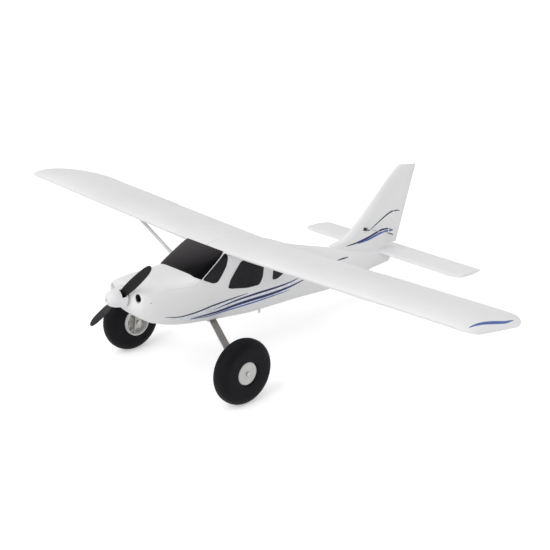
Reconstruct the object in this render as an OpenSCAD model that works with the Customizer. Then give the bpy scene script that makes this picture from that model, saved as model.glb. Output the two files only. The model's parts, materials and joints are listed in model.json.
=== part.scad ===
// Radio-control foam airplane: a high-wing tail-dragger with big balloon tyres.
// Every piece is modelled with the fuselage level: +X to the left wing, +Y aft, +Z up.
// The whole airplane is then set down on its three wheels.

/* [Wing] */
// Distance between the wing tips
wing_span = 1225; // [1050:1:1400]
// Chord of the wing, ailerons included
wing_chord = 171; // [160:1:185]
// Greatest thickness of the wing
wing_thick = 22; // [21:0.5:26]
// Height of the wing's camber line above its chord line
wing_camber = 4; // [2:0.5:6]
// Upward slope of each wing panel, in degrees
wing_dihedral = 1.8; // [0.5:0.1:4]
// Nose-up set of the wing, in degrees
wing_incidence = 3; // [1:0.5:4]
// Fore-and-aft place of the wing's leading edge
wing_le_y = -93; // [-100:1:-86]
// Height of the wing's leading edge
wing_le_z = 40; // [36:0.5:46]
// Length of the rounded stretch at each tip
tip_len = 64; // [40:1:90]
// How far the tip's trailing corner is rounded away
tip_round_aft = 54; // [20:1:60]
// How far the tip's leading corner is rounded away
tip_round_fore = 22; // [10:1:40]
// How much shorter the wing is behind, inboard of the ailerons
inboard_step = 8; // [4:0.5:12]

/* [Control surfaces] */
// Aileron and flap depth behind their hinge
aileron_chord = 42; // [36:1:50]
// Place along the panel where the flap starts
flap_start = 66; // [62:1:80]
// Place along the panel where the flap ends and the aileron starts
surface_split = 296; // [260:1:330]
// Place along the panel where the aileron ends
aileron_end = 508; // [430:1:520]
// Gap round each moving surface
surface_gap = 0.5; // [0.4:0.1:1]
// Length of the servo arms and control horns, from axis to pin
link_radius = 16; // [15:0.5:20]
// Wire thickness of the pushrods
rod_d = 1.5; // [1.2:0.1:2]

/* [Fuselage] */
// Width of the cabin
cabin_width = 116; // [110:1:130]
// Width of the nose bowl's front
nose_width = 94; // [88:1:104]
// Width of the tail post
tail_width = 16; // [14:1:22]
// Foam wall thickness
foam_wall = 8; // [6:0.5:10]
// Fore-and-aft place of the seam between nose bowl and fuselage
seam_y = -228; // [-234:1:-224]
// Fore-and-aft place of the tail post
tail_y = 426; // [420:1:432]
// Height of the joint line below the hatch
hatch_z = -12; // [-16:1:-10]
// Gap round the hatch
hatch_gap = 0.4; // [0.3:0.1:1]
// Thickness of the window panes
pane_t = 0.8; // [0.6:0.1:1.5]

/* [Power unit] */
// Propeller diameter
prop_d = 240; // [210:1:254]
// Turn of the propeller at rest, in degrees from the left wing upward
prop_angle = 41.5; // [0:0.5:180]
// Widest blade chord
blade_chord = 18; // [16:0.5:24]
// Spinner diameter
spinner_d = 36; // [34:0.5:42]
// Length of the spinner ahead of its back plate
spinner_len = 35; // [30:0.5:45]
// Fore-and-aft place of the propeller's centre
prop_y = -285; // [-288:1:-283]
// Height of the propeller's centre
prop_z = -30; // [-34:1:-26]
// Downward tilt of the motor, in degrees
down_thrust = 3; // [0:0.5:4]
// Motor diameter
motor_d = 30; // [26:0.5:31]

/* [Landing gear] */
// Main wheel diameter over the tyre
wheel_d = 123; // [100:1:130]
// Tyre width
tyre_width = 36; // [28:1:40]
// Distance between the middles of the main wheels
track = 332; // [300:1:380]
// Fore-and-aft place of the main axles
axle_y = -131; // [-140:1:-120]
// Height of the main axles below the level line
axle_z = -144; // [-160:1:-136]
// Axle diameter
axle_d = 4; // [3:0.5:5]
// Thickness of the leg strip
leg_t = 3; // [2:0.5:4]
// Width of the leg strip at the fuselage
leg_width = 15; // [14:1:24]
// Tail wheel diameter
tail_wheel_d = 34; // [24:1:40]
// Drop of the tail axle below the fuselage
tail_drop = 44; // [36:1:54]

/* [Tail] */
// Span of the stabilizer
stab_span = 444; // [400:1:500]
// Depth of the fixed stabilizer at its middle
stab_chord = 49; // [44:1:54]
// Sweep of the stabilizer's leading edge at each tip
stab_sweep = 10; // [4:1:16]
// Tail surface thickness at the hinges
stab_thick = 8; // [7:0.5:10]
// Depth of the elevator behind its hinge
elevator_chord = 36; // [30:1:44]
// Tail-up set of the stabilizer, in degrees
stab_set = 4; // [0:0.5:6]
// Height of the fin's top
fin_top_z = 160; // [140:1:180]
// Thickness of the fin at its foot
fin_foot_t = 18; // [16.5:0.5:22]
// Thickness of the fin at its top
fin_top_t = 9; // [7:0.5:12]
// Depth of the rudder behind its hinge
rudder_chord = 37; // [30:1:44]

/* [Hidden] */
$fn = 48;

// Running clearance of a pin in its hole, and of a foam piece in its seat
pin_fit = 0.05;
seat_fit = 0.1;
// Extra length where a cut passes a face or two shapes of one piece join
spare = 1;

// Wing section: half thickness and camber at a share u of the chord
edge_half = 0.6;
camber_place = 0.4;
foil_steps = 13;
surface_steps = 3;
semi_span = wing_span / 2;
hinge_y = wing_chord - aileron_chord;
hinge_u = hinge_y / wing_chord;
function half_thick(u) =
    5 * wing_thick * (0.2969 * sqrt(u) - 0.126 * u - 0.3516 * u * u + 0.2843 * pow(u, 3) - 0.1015 * pow(u, 4))
    + edge_half * u;
function camber(u) =
    u < camber_place
    ? wing_camber * (2 * camber_place * u - u * u) / pow(camber_place, 2)
    : wing_camber * (1 - 2 * camber_place + 2 * camber_place * u - u * u) / pow(1 - camber_place, 2);
function upper(u) = [wing_chord * u, camber(u) + half_thick(u)];
function lower(u) = [wing_chord * u, camber(u) - half_thick(u)];
function spread(i) = (1 - cos(180 * i / foil_steps)) / 2;
foil_points = concat(
    [for (i = [foil_steps:-1:0]) lower(spread(i))],
    [for (i = [1:foil_steps]) upper(spread(i))]);
hinge_z = camber(hinge_u);
nose_r = half_thick(hinge_u);
nose_step = 0.15;
flap_edge = wing_chord - inboard_step;
// The panels start where their tilted roots clear each other
root_x = 0.3 + wing_thick * sin(wing_dihedral);

// Rounded tip: share of the rounding left at a distance d from the tip
tip_rings = 7;
tip_fore_len = 28;
tip_thin_len = 40;
tip_thin_least = 0.12;
function round_off(d, len) = d >= len ? 0 : 1 - sqrt(1 - pow((len - d) / len, 2));
function tip_thin(d) = max(tip_thin_least, 1 - round_off(d, tip_thin_len));
tip_floor = camber(0.3) - half_thick(0.3);
function tip_point(p, d) =
    let (front = tip_round_fore * round_off(d, tip_fore_len))
    let (back = tip_round_aft * round_off(d, tip_len))
    [
        semi_span / cos(wing_dihedral) - d,
        front + p[0] * (wing_chord - front - back) / wing_chord,
        tip_floor + (p[1] - tip_floor) * tip_thin(d)
    ];
tip_places = [for (i = [0:tip_rings]) tip_len * (1 - sin(90 * i / tip_rings))];
wing_rings = concat(
    [[for (p = foil_points) [root_x, p[0], p[1]]]],
    [for (d = tip_places) [for (p = foil_points) tip_point(p, d)]]);

// Spar tube through both panels
spar_d = 8;
spar_len = 400;
spar_u = 0.3;
spar_y = wing_chord * spar_u;
spar_z = camber(spar_u) + spar_len / 4 * tan(wing_dihedral);

// Wing bolts, down into the cabin roof
bolt_d = 5;
bolt_head_d = 10;
bolt_head_t = 2;
bolt_x = 22;
bolt_y = 128;
bolt_reach = 6;
bolt_sink = 3;
bolt_u = bolt_y / wing_chord;
bolt_head_z = upper(bolt_u)[1] - bolt_sink;
bolt_end_z = lower(bolt_u)[1] - bolt_reach;

// Servos, arms, pushrods and horns share these sizes
plate_t = 1.6;
rod_gap = 0.3;
servo_len = 23;
servo_width = 12;
servo_height = 20;
servo_shaft_from_end = 6;
servo_boss = 2.5;
spline_d = 4;
arm_hub_r = 3.4;
arm_eye_r = 2.2;
arm_root = 3;
arm_tip = 1.8;
horn_front = 2;
horn_back = 9;
horn_sink = 1;
slot_reach = 12;
slot_clear = 0.6;
boss_gap = 0.2;
pin_end = 0.5;
pocket_fit = 0.2;
rod_x = plate_t + rod_gap + rod_d / 2;
rod_wire_d = 0.9 * rod_d;
wing_link_y = -60;
wing_link = [wing_link_y, camber((hinge_y + wing_link_y) / wing_chord) - hinge_z];
flap_link_x = 190;
aileron_link_x = 410;

// Fuselage sections: place, half width, top, widest height, bottom, squareness above and below
roof_z = 44;
cabin_half = cabin_width / 2;
nose_half = nose_width / 2;
tail_half = tail_width / 2;
nose_gap = 11;
nose_front_y = prop_y + nose_gap;
hood_y = -190;
windshield_foot_y = -157;
cabin_end_y = 130;
windshield_top_y = wing_le_y - 2;
seam_section = [seam_y, cabin_half - 4, 1, -30, -82, 3.3, 3];
nose_sections = [
    [nose_front_y, nose_half - 5, -11, -29, -46, 2.6, 2.6],
    [nose_front_y + 3, nose_half, -8, -29, -52, 2.7, 2.7],
    [nose_front_y + 9, nose_half + 3, -5, -29, -59, 2.9, 2.8],
    [nose_front_y + 24, nose_half + 6, -3, -29, -70, 3.1, 2.9],
    seam_section
];
body_sections = [
    seam_section,
    [hood_y, cabin_half - 1, 3, -31, -91, 3.7, 3],
    [windshield_foot_y, cabin_half, 5, -32, -95, 6, 3],
    [windshield_top_y, cabin_half, roof_z, -34, -97, 14, 3],
    [-20, cabin_half, roof_z - 4, -34, -97, 12, 3],
    [72, cabin_half - 5, 34, -33, -92, 5, 3],
    [cabin_end_y, cabin_half - 13, 19, -34, -90, 3, 2.8],
    [215, cabin_half - 25, 4, -35, -89, 2.6, 2.6],
    [300, tail_half + 17, -10, -37, -76, 2.5, 2.5],
    [365, tail_half + 8, -18, -38, -61, 2.4, 2.4],
    [tail_y, tail_half, -22, -37, -51, 2.4, 2.4]
];
ring_steps = 32;
function section_point(s, grow, angle) =
    let (c = cos(angle))
    let (v = sin(angle))
    let (power = 2 / (v >= 0 ? s[5] : s[6]))
    let (rise = v >= 0 ? s[2] + grow - s[3] : s[3] - s[4] + grow)
    [
        (s[1] + grow) * sign(c) * pow(abs(c), power),
        s[0],
        s[3] + rise * sign(v) * pow(abs(v), power)
    ];
function section_ring(s, grow) = [for (i = [0:ring_steps - 1]) section_point(s, grow, 360 * i / ring_steps)];
function moved_to(s, y) = [y, s[1], s[2], s[3], s[4], s[5], s[6]];
// A length that reaches past the fuselage on any side
beyond = 200;
roof_t = 21;
hollow_end = 300;
hollow_sections = concat(
    [moved_to(seam_section, seam_y - spare)],
    [for (s = body_sections) if (s[0] > seam_y && s[0] <= hollow_end) s]);
cowl_wall = 4;
cowl_front = 6;
cowl_hollow_sections = concat(
    [moved_to(nose_sections[2], nose_front_y + cowl_front)],
    [nose_sections[3]],
    [moved_to(seam_section, seam_y + spare)]);
pane_lift = 0.02;
pane_sections = [for (s = body_sections) if (s[0] >= hood_y && s[0] <= cabin_end_y) s];

// Section between two of the rows above, and the half width of the body there
function blend(a, b, t) = a + (b - a) * t;
function row_at(y, i = 0) =
    y <= body_sections[i + 1][0] || i == len(body_sections) - 2
    ? let (t = (y - body_sections[i][0]) / (body_sections[i + 1][0] - body_sections[i][0]))
      [for (k = [0:6]) blend(body_sections[i][k], body_sections[i + 1][k], t)]
    : row_at(y, i + 1);
function side_x(y, z) =
    let (s = row_at(y))
    let (rise = z >= s[3] ? s[2] - s[3] : s[3] - s[4])
    let (power = z >= s[3] ? s[5] : s[6])
    s[1] * pow(1 - pow(min(1, abs(z - s[3]) / rise), power), 1 / power);

// Hatch outline seen from the side: hood and windshield
hatch_front_y = seam_y + 3;
pillar_foot = [-147, -1];
pillar_top = [windshield_top_y, roof_z];
pillar_slope = (pillar_top[0] - pillar_foot[0]) / (pillar_top[1] - pillar_foot[1]);
hatch_back_y = pillar_foot[0] + (hatch_z - pillar_foot[1]) * pillar_slope;
hatch_above = 40;
function hatch_outline(inset) = [
    [hatch_front_y + inset, hatch_z + inset],
    [hatch_back_y - 2 * inset, hatch_z + inset],
    pillar_top - [2 * inset, 0],
    [pillar_top[0] - 2 * inset, roof_z + hatch_above],
    [hatch_front_y + inset, roof_z + hatch_above]
];

// Window outlines seen from the side
pillar_half = 3;
pane_rise = 2;
pane_foot = pillar_foot - [pillar_half, 0];
pane_top = pillar_top - [1, 0];
windshield_outline = [
    pane_foot,
    pane_top,
    [pane_top[0], roof_z + hatch_above],
    [windshield_foot_y, roof_z + hatch_above],
    [windshield_foot_y, pane_foot[1] + pane_rise]
];
quarter_window = [[-143, -2], [-120, -12], [-110, -11], [-100, 2], [-91, 19], [-90, 32], [-95, 39]];
door_window = [
    [-81, -23], [-80, -14], [-55, 22], [-51, 24], [0, 20], [4, 16],
    [4, -12], [2, -22], [-6, -30], [-32, -32], [-76, -27]
];
rear_window = [[31, -22], [37, -26], [65, -18], [80, -6], [82, 2], [78, 8], [34, 17], [31, 14]];
side_outlines = [quarter_window, door_window, rear_window];
window_depth = 30;

// Power unit, measured along the motor shaft from the propeller's centre
shaft_d = 5;
hub_half = 4.5;
hub_r = 9;
back_plate_t = 2;
bell_front = -18;
bell_len = 25;
bell_wall = 2;
air_gap = 0.5;
stator_d = motor_d - 2 * bell_wall - 2 * air_gap;
collar_r = 6;
collar_len = -bell_front - hub_half - back_plate_t;
mount_gap = 0.6;
mount_t = 3;
mount_r = 15;
standoff_d = 6;
standoff_spread = 10;
standoff_sink = 0.5;
firewall_t = 4;
plate_fit = 1;
firewall_y = seam_y + 1;
firewall_front = (prop_y - firewall_y) / cos(down_thrust);
firewall_back = firewall_front - firewall_t;
firewall_hole_r = 6;
nut_len = 6;
nut_af = 8;
shaft_front = hub_half + nut_len + 4;
shaft_back = bell_front - bell_len - mount_gap - mount_t;
spinner_ahead = spinner_len - hub_half - back_plate_t;
spinner_wall = 1.5;
spinner_steps = 8;
slot_half = 8;
slot_sink = 0.8;
tip_screw_d = 3;
tip_head_d = 5;
tip_head_t = 2;
blade_rings = 9;
blade_root = 6;
blade_pitch = 127;
blade_steepest = 35;
blade_root_share = 0.75;
blade_tip_share = 0.17;
blade_tip_sharp = 8;
blade_taper = 0.42;
blade_taper_curve = 1.6;
blade_widest = 0.4;
blade_root_thick = 0.18;
blade_tip_thick = 0.1;
blade_ring_points = 12;
cowl_hole_r = 13;
intake_x = 36;
intake_z = -24;
intake_r = 6;
intake_rise = 2.5;
intake_depth = 16;

// Equipment inside the cabin
tray_z = -74;
tray_t = 3;
tray_from = -222;
tray_to = 60;
battery_size = [34, 105, 26];
battery_y = -207;
strap_t = 1.2;
strap_width = 20;
strap_gap = 0.1;
tray_half = 38;
controller_size = [30, 58, 10];
controller_y = -96;
receiver_size = [26, 42, 14];
receiver_y = -30;

// Wing strut, and the peg on the other side of the belly
strut_d = 7;
strut_peg_d = 5;
strut_peg_len = 6;
strut_pad_d = 13;
strut_pad_t = 4;
strut_wing_x = 263;
strut_wing_y = 38;
strut_body_y = -28;
strut_body_z = -78;
strut_foot = [side_x(strut_body_y, strut_body_z), strut_body_y, strut_body_z];
peg_place = [45, 14];
peg_d = 4.5;
peg_root_d = 3;
peg_top_z = -74;
peg_foot_z = -86;
peg_len = 6;
peg_end_z = peg_foot_z - peg_len;
strut_head_z = lower(strut_wing_y / wing_chord)[1];
function panel_point(p) =
    let (out = p[0] * cos(wing_dihedral) - p[2] * sin(wing_dihedral))
    let (up = p[0] * sin(wing_dihedral) + p[2] * cos(wing_dihedral))
    [
        out,
        wing_le_y + p[1] * cos(wing_incidence) + up * sin(wing_incidence),
        wing_le_z - p[1] * sin(wing_incidence) + up * cos(wing_incidence)
    ];

// Landing gear
hub_face_r = 21;
hub_back_r = 27;
hub_step = -9;
hub_web_t = 4;
hub_rim_t = 3;
hub_rim_out = 6;
hub_recess = 4;
hub_hole_d = 8;
hub_hole_at = 17;
hub_boss_r = 7;
spoke_count = 6;
spoke_t = 4;
spoke_back = -16;
tyre_points = 24;
tyre_steps = 72;
tyre_square = 2.3;
tyre_square_inside = 7;
leg_foot_width = 16;
leg_pad = 24;
plate_half = 34;
gear_plate_y = -92;
gear_sink = 4;
gear_screw_x = 24;
gear_screw_y = 4;
screw_d = 3;
screw_head_d = 5.5;
screw_head_t = 2;
screw_len = 10;
axle_head_d = 8;
axle_head_t = 3;
axle_nut_t = 3;
wheel_side_gap = 0.4;
wheel_r = wheel_d / 2;
track_half = track / 2;
hub_back = -tyre_width / 2;
hub_face = tyre_width / 2 - hub_recess;
hub_rim_back = hub_back - hub_rim_out;
gear_top_z = row_at(gear_plate_y)[4] + gear_sink;
pad_face = hub_back - wheel_side_gap - axle_nut_t;
pad_x = track_half + pad_face;

// Tail wheel, turning square to the underside of the tail
steer_y = 352;
tail_trail = 18;
steer_pin_d = 3;
steer_pin_top = -0.3;
steer_gap = 0.3;
fork_t = 2;
fork_crown_t = 3;
fork_half = 4;
tail_wheel_w = 10;
tail_wheel_edge = 2;
tail_axle_d = 2.5;
tail_side_gap = 0.4;
tyre_clear = 3;
bracket_t = 2.5;
bracket_half = 13;
bracket_width = 9;
bracket_tube_d = 7;
bracket_screw_y = 9;
tail_wheel_r = tail_wheel_d / 2;
tail_slope = atan2(row_at(steer_y + 1)[4] - row_at(steer_y - 1)[4], 2);
steer_z = row_at(steer_y)[4];
fork_z = tail_wheel_r + tyre_clear - tail_drop;
tail_axle_y = steer_y + tail_trail * cos(tail_slope) + tail_drop * sin(tail_slope);
tail_axle_z = steer_z + tail_trail * sin(tail_slope) - tail_drop * cos(tail_slope);

// Tail surfaces
stab_y = 378;
stab_z = -26;
stab_tip = 13;
stab_nose = 14;
stab_tip_rings = 4;
stab_tip_thin = 0.6;
// Rounded front of a tail surface: share of its length, share of its half thickness
nose_shape = [[1, 1], [0.45, 0.8], [0.12, 0.45]];
nose_shape_back = [for (i = [len(nose_shape) - 1:-1:0]) nose_shape[i]];
stab_half = stab_span / 2;
elevator_nose = stab_thick / 2;
elevator_y = stab_chord + surface_gap + elevator_nose;
elevator_edge_half = 0.8;
elevator_inset = 1;
elevator_corner = 5;
elevator_link_x = 23;
elevator_link = [-85, -18];
rudder_lean = 12.2;
rudder_foot = [410, -9];
rudder_nose = 5;
rudder_edge_half = 0.8;
rudder_link = [-79, 0];
rudder_link_rise = 22;
rudder_spare = 12;
fin_sections = [
    [-24, 232], [3, 240], [11, 268], [34, 303], [98, 365],
    [fin_top_z - 3, 424], [fin_top_z, 430]
];
fin_nose = 26;
fin_back_half = 5.5;
fin_foot_z = fin_sections[0][0];
function rudder_y(z) = rudder_foot[0] + (z - rudder_foot[1]) * tan(rudder_lean);

// Three-point stance: the ground line touches the main and the tail wheels
wheel_reach = [tail_axle_y - axle_y, tail_axle_z - axle_z];
stance = atan2(wheel_reach[1], wheel_reach[0]) + asin((wheel_r - tail_wheel_r) / norm(wheel_reach));
function tilted(p) = [
    p[0],
    p[1] * cos(stance) + p[2] * sin(stance),
    p[2] * cos(stance) - p[1] * sin(stance)
];
spinner_tip = [0, prop_y - spinner_ahead * cos(down_thrust), prop_z - spinner_ahead * sin(down_thrust)];
rudder_heel = [0, rudder_y(fin_top_z) + rudder_chord / cos(rudder_lean), fin_top_z];
middle_y = (tilted(spinner_tip)[1] + tilted(rudder_heel)[1]) / 2;
ground_z = tilted([0, axle_y, axle_z])[2] - wheel_r;

// Frames

// Sets the level airplane down on its wheels
module standing() {
    translate([0, -middle_y, -ground_z]) rotate([-stance, 0, 0]) children();
}

// Keeps a left-hand piece, or mirrors it to the right
module on_side(side) {
    if (side > 0) children();
    else mirror([1, 0, 0]) children();
}

// Wing root: X straight across, Y aft from the leading edge, Z up from the chord line
module on_root(side) {
    on_side(side) translate([0, wing_le_y, wing_le_z]) rotate([-wing_incidence, 0, 0]) children();
}

// Wing panel: as the root, with X sloping up along the panel
module on_panel(side) {
    on_root(side) rotate([0, -wing_dihedral, 0]) children();
}

// Main wheel: Z outward along the axle from the middle of the tyre
module on_wheel(side) {
    on_side(side) translate([track_half, axle_y, axle_z]) rotate([0, 90, 0]) children();
}

// Motor shaft: Z forward from the propeller's centre
module on_shaft() {
    translate([0, prop_y, prop_z]) rotate([90 + down_thrust, 0, 0]) children();
}

// Stabilizer: Y aft from its leading edge
module on_stab() {
    translate([0, stab_y, stab_z]) rotate([stab_set, 0, 0]) children();
}

// Tail wheel: Z up along its steering pin
module on_steer() {
    translate([0, steer_y, steer_z]) rotate([tail_slope, 0, 0]) children();
}

// Rudder hinge: Z up along the hinge
module on_rudder() {
    translate([0, rudder_foot[0], rudder_foot[1]]) rotate([-rudder_lean, 0, 0]) children();
}

// Link frames: X along the hinge, Y aft, arms hang towards -Z
module on_wing_link(side, x) {
    on_panel(side) translate([x, hinge_y, hinge_z]) children();
}

module on_elevator_link() {
    on_side(-1) on_stab() translate([elevator_link_x, elevator_y, 0]) children();
}

module on_rudder_link() {
    on_rudder() translate([0, 0, rudder_link_rise]) rotate([0, -90, 0]) children();
}

// Shapes

// Closed skin through a list of rings with equal counts of points
module loft(rings) {
    count = len(rings[0]);
    last = len(rings) - 1;
    sides = [
        for (r = [0:last - 1])
            for (i = [0:count - 1])
                let (a = r * count + i)
                let (b = r * count + (i + 1) % count)
                each [[a, b, b + count], [a, b + count, a + count]]
    ];
    start = [for (i = [count - 1:-1:0]) i];
    finish = [for (i = [0:count - 1]) last * count + i];
    polyhedron([for (ring = rings) each ring], concat(sides, [start, finish]));
}

// A profile drawn in (aft, up), drawn out along X
module along_span(from, to) {
    translate([from, 0, 0]) rotate([90, 0, 90]) linear_extrude(to - from) children();
}

// A rod along X
module cross_pin(d, from, to) {
    translate([from, 0, 0]) rotate([0, 90, 0]) cylinder(d = d, h = to - from);
}

// A round bar between two points
module bar(p, q, d) {
    way = q - p;
    turn = acos(way[2] / norm(way));
    heading = atan2(way[1], way[0]);
    translate(p) rotate([0, turn, heading]) cylinder(d = d, h = norm(way));
}

// A hexagon nut or head of a given width over its flats
module hexagon(flats, h) {
    cylinder(d = flats / cos(30), h = h, $fn = 6);
}

// A box from one corner to the opposite one
module box(from, to) {
    translate(from) cube(to - from);
}

// Fuselage

module body(grow) {
    loft([for (s = body_sections) section_ring(s, grow)]);
}

// Space inside the foam, closed above by the cabin roof
module body_space() {
    difference() {
        loft([for (s = hollow_sections) section_ring(s, -foam_wall)]);
        box([-beyond, windshield_top_y, roof_z - roof_t], [beyond, hollow_end, beyond]);
    }
}

module body_shell() {
    difference() {
        body(0);
        body_space();
    }
}

// Everything above the wing's underside
module wing_seat(side) {
    under = [for (i = [0:foil_steps]) if (lower(spread(i))[0] < flap_edge) lower(spread(i)) - [0, seat_fit]];
    rear = lower(flap_edge / wing_chord) + [seat_fit, -seat_fit];
    on_panel(side) along_span(-cabin_half, 2 * cabin_half)
        polygon(concat(under, [rear, [rear[0], beyond], [0, beyond]]));
}

// Everything above the stabilizer's underside
module stab_seat() {
    on_stab() box([-beyond, -seat_fit, -stab_thick / 2 - seat_fit], [beyond, beyond, beyond]);
}

module gear_recess() {
    reach = [plate_half + seat_fit, leg_width / 2 + seat_fit];
    translate([0, gear_plate_y, 0])
        box([-reach[0], -reach[1], -beyond], [reach[0], reach[1], gear_top_z]);
}

module elevator_servo_pocket() {
    on_elevator_link() translate([0, elevator_link[0], elevator_link[1]]) {
        servo_room(0);
        translate([servo_height, 0, 0]) servo_room(0);
    }
}

module fuselage_half(side) {
    color("white") difference() {
        intersection() {
            body_shell();
            on_side(side) box([0, seam_y, -beyond], [beyond, tail_y, beyond]);
        }
        along_span(-beyond, beyond) polygon(hatch_outline(0));
        wing_seat(side);
        stab_seat();
        gear_recess();
        if (side < 0) elevator_servo_pocket();
    }
}

module fuselage_left() {
    fuselage_half(1);
}

module fuselage_right() {
    fuselage_half(-1);
}

module cowl_intake() {
    translate([intake_x, nose_front_y - spare, intake_z]) rotate([-90, 0, 0]) {
        translate([0, intake_rise, 0]) cylinder(r = intake_r, h = intake_depth);
        translate([0, -intake_rise, 0]) cylinder(r = intake_r, h = intake_depth);
        box([-intake_r, -intake_rise, 0], [intake_r, intake_rise, intake_depth]);
    }
}

module cowl() {
    color("white") difference() {
        loft([for (s = nose_sections) section_ring(s, 0)]);
        loft([for (s = cowl_hollow_sections) section_ring(s, -cowl_wall)]);
        on_shaft() translate([0, 0, -beyond / 2]) cylinder(r = cowl_hole_r, h = beyond);
        cowl_intake();
        on_side(-1) cowl_intake();
    }
}

module hatch() {
    color("white") intersection() {
        body_shell();
        along_span(-beyond, beyond) polygon(hatch_outline(hatch_gap));
    }
}

// Thin panes lying on the cabin, where the given prism meets its skin
module panes() {
    difference() {
        intersection() {
            loft([for (s = pane_sections) section_ring(s, pane_t)]);
            children();
        }
        loft([for (s = pane_sections) section_ring(s, pane_lift)]);
    }
}

module windshield() {
    color("dimgray") panes() along_span(-beyond, beyond) polygon(windshield_outline);
}

module side_windows() {
    color("dimgray") for (side = [1, -1]) panes() on_side(side) for (outline = side_outlines)
        along_span(window_depth, beyond) polygon(outline);
}

// Power unit

// Four places round the motor shaft
module at_standoffs() {
    for (turn = [45:90:315]) rotate([0, 0, turn]) translate([standoff_spread * sqrt(2), 0, 0]) children();
}

module firewall() {
    rim = [for (p = section_ring(seam_section, -foam_wall - seat_fit)) [p[0], p[2]]];
    color("burlywood") difference() {
        translate([0, firewall_y + firewall_t, 0]) rotate([90, 0, 0]) linear_extrude(firewall_t) polygon(rim);
        on_shaft() translate([0, 0, -beyond]) {
            cylinder(r = firewall_hole_r, h = beyond);
            at_standoffs() cylinder(d = screw_d + 2 * pin_fit, h = beyond);
        }
    }
}

module motor_mount() {
    base = bell_front - bell_len - mount_gap;
    color("silver") on_shaft() difference() {
        union() {
            translate([0, 0, base - mount_t]) cylinder(r = mount_r + standoff_d / 2, h = mount_t);
            translate([0, 0, base]) cylinder(d = stator_d, h = bell_len - 2 * bell_wall);
            at_standoffs() translate([0, 0, firewall_front - standoff_sink])
                cylinder(d = standoff_d, h = base - firewall_front);
        }
        translate([0, 0, -beyond]) cylinder(d = shaft_d + 2 * pin_fit, h = beyond);
        at_standoffs() translate([0, 0, firewall_back]) cylinder(d = screw_d + 2 * pin_fit, h = screw_len);
    }
}

module motor_bell() {
    color("darkgray") on_shaft() {
        difference() {
            translate([0, 0, bell_front - bell_len]) cylinder(d = motor_d, h = bell_len);
            translate([0, 0, bell_front - bell_len - spare])
                cylinder(d = motor_d - 2 * bell_wall, h = bell_len - bell_wall + spare);
        }
        translate([0, 0, shaft_back]) cylinder(d = shaft_d, h = shaft_front - shaft_back);
        translate([0, 0, bell_front - spare]) cylinder(r = collar_r, h = collar_len + spare);
    }
}

// Blade section at a share t of the blade's length
function blade_width(t) =
    blade_chord * blend(blade_root_share, 1, sin(min(90, 90 * t / blade_widest)))
    * (1 - blade_taper * pow(max(0, (t - blade_widest) / (1 - blade_widest)), blade_taper_curve))
    * sqrt(1 - (1 - pow(blade_tip_share, 2)) * pow(t, blade_tip_sharp));
function blade_ring(t) =
    let (r = blade_root + t * (prop_d / 2 - blade_root))
    let (pitch = min(blade_steepest, atan(blade_pitch / (2 * PI * r))))
    [
        for (i = [0:blade_ring_points - 1])
            let (turn = -360 * i / blade_ring_points)
            let (along = blade_width(t) / 2 * cos(turn))
            let (across = blade_width(t) / 2 * blend(blade_root_thick, blade_tip_thick, t) * sin(turn))
            [r, along * cos(pitch) - across * sin(pitch), along * sin(pitch) + across * cos(pitch)]
    ];

module propeller() {
    color("black") on_shaft() rotate([0, 0, prop_angle]) difference() {
        union() {
            translate([0, 0, -hub_half]) cylinder(r = hub_r, h = 2 * hub_half);
            for (turn = [0, 180]) rotate([0, 0, turn])
                loft([for (i = [0:blade_rings]) blade_ring(sin(90 * i / blade_rings))]);
        }
        translate([0, 0, -beyond / 2]) cylinder(d = shaft_d + 2 * pin_fit, h = beyond);
    }
}

// Half outline of the spinner, from its rim to its tip
function spinner_outline(r, len) = [
    for (i = [0:spinner_steps])
        let (turn = 90 * i / spinner_steps)
        [r * cos(turn), len * sin(turn)]
];

module spinner() {
    inner_r = spinner_d / 2 - spinner_wall;
    inner_len = spinner_len - back_plate_t - spinner_wall;
    color("white") on_shaft() rotate([0, 0, prop_angle])
        translate([0, 0, -hub_half - back_plate_t]) difference() {
            rotate_extrude() polygon(concat([[0, 0]], spinner_outline(spinner_d / 2, spinner_len)));
            translate([0, 0, back_plate_t]) rotate_extrude()
                polygon(concat([[0, 0]], spinner_outline(inner_r, inner_len)));
            box([-beyond, -slot_half, back_plate_t - slot_sink],
                [beyond, slot_half, back_plate_t + 2 * hub_half + spare]);
            translate([0, 0, -spare])
                cylinder(d = shaft_d + 2 * pin_fit, h = back_plate_t + 2 * spare);
            cylinder(d = tip_screw_d + 2 * pin_fit, h = beyond);
            translate([0, 0, spinner_len - tip_head_t])
                cylinder(d = tip_head_d + 2 * pin_fit, h = beyond);
        }
}

// The nut that holds the propeller, and the screw that holds the spinner
module prop_fixings() {
    color("gray") on_shaft() {
        translate([0, 0, hub_half]) difference() {
            hexagon(nut_af, nut_len);
            translate([0, 0, -spare]) cylinder(d = shaft_d + 2 * pin_fit, h = nut_len + 2 * spare);
        }
        translate([0, 0, shaft_front]) cylinder(d = tip_screw_d, h = spinner_ahead - shaft_front);
        translate([0, 0, spinner_ahead - tip_head_t]) cylinder(d = tip_head_d, h = tip_head_t);
    }
}

// Equipment

module on_tray(size, y) {
    translate([-size[0] / 2, y, tray_z + tray_t]) children();
}

module equipment_tray() {
    color("burlywood") box([-tray_half, tray_from, tray_z], [tray_half, tray_to, tray_z + tray_t]);
}

module battery() {
    color("royalblue") on_tray(battery_size, battery_y) cube(battery_size);
}

module battery_strap() {
    inner = [battery_size[0] / 2 + strap_gap, battery_size[2] + strap_gap];
    color("black") translate([0, battery_y + (battery_size[1] + strap_width) / 2, tray_z + tray_t])
        rotate([90, 0, 0]) linear_extrude(strap_width) difference() {
            translate([-inner[0] - strap_t, 0]) square([2 * (inner[0] + strap_t), inner[1] + strap_t]);
            translate([-inner[0], -spare]) square([2 * inner[0], inner[1] + spare]);
        }
}

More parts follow.
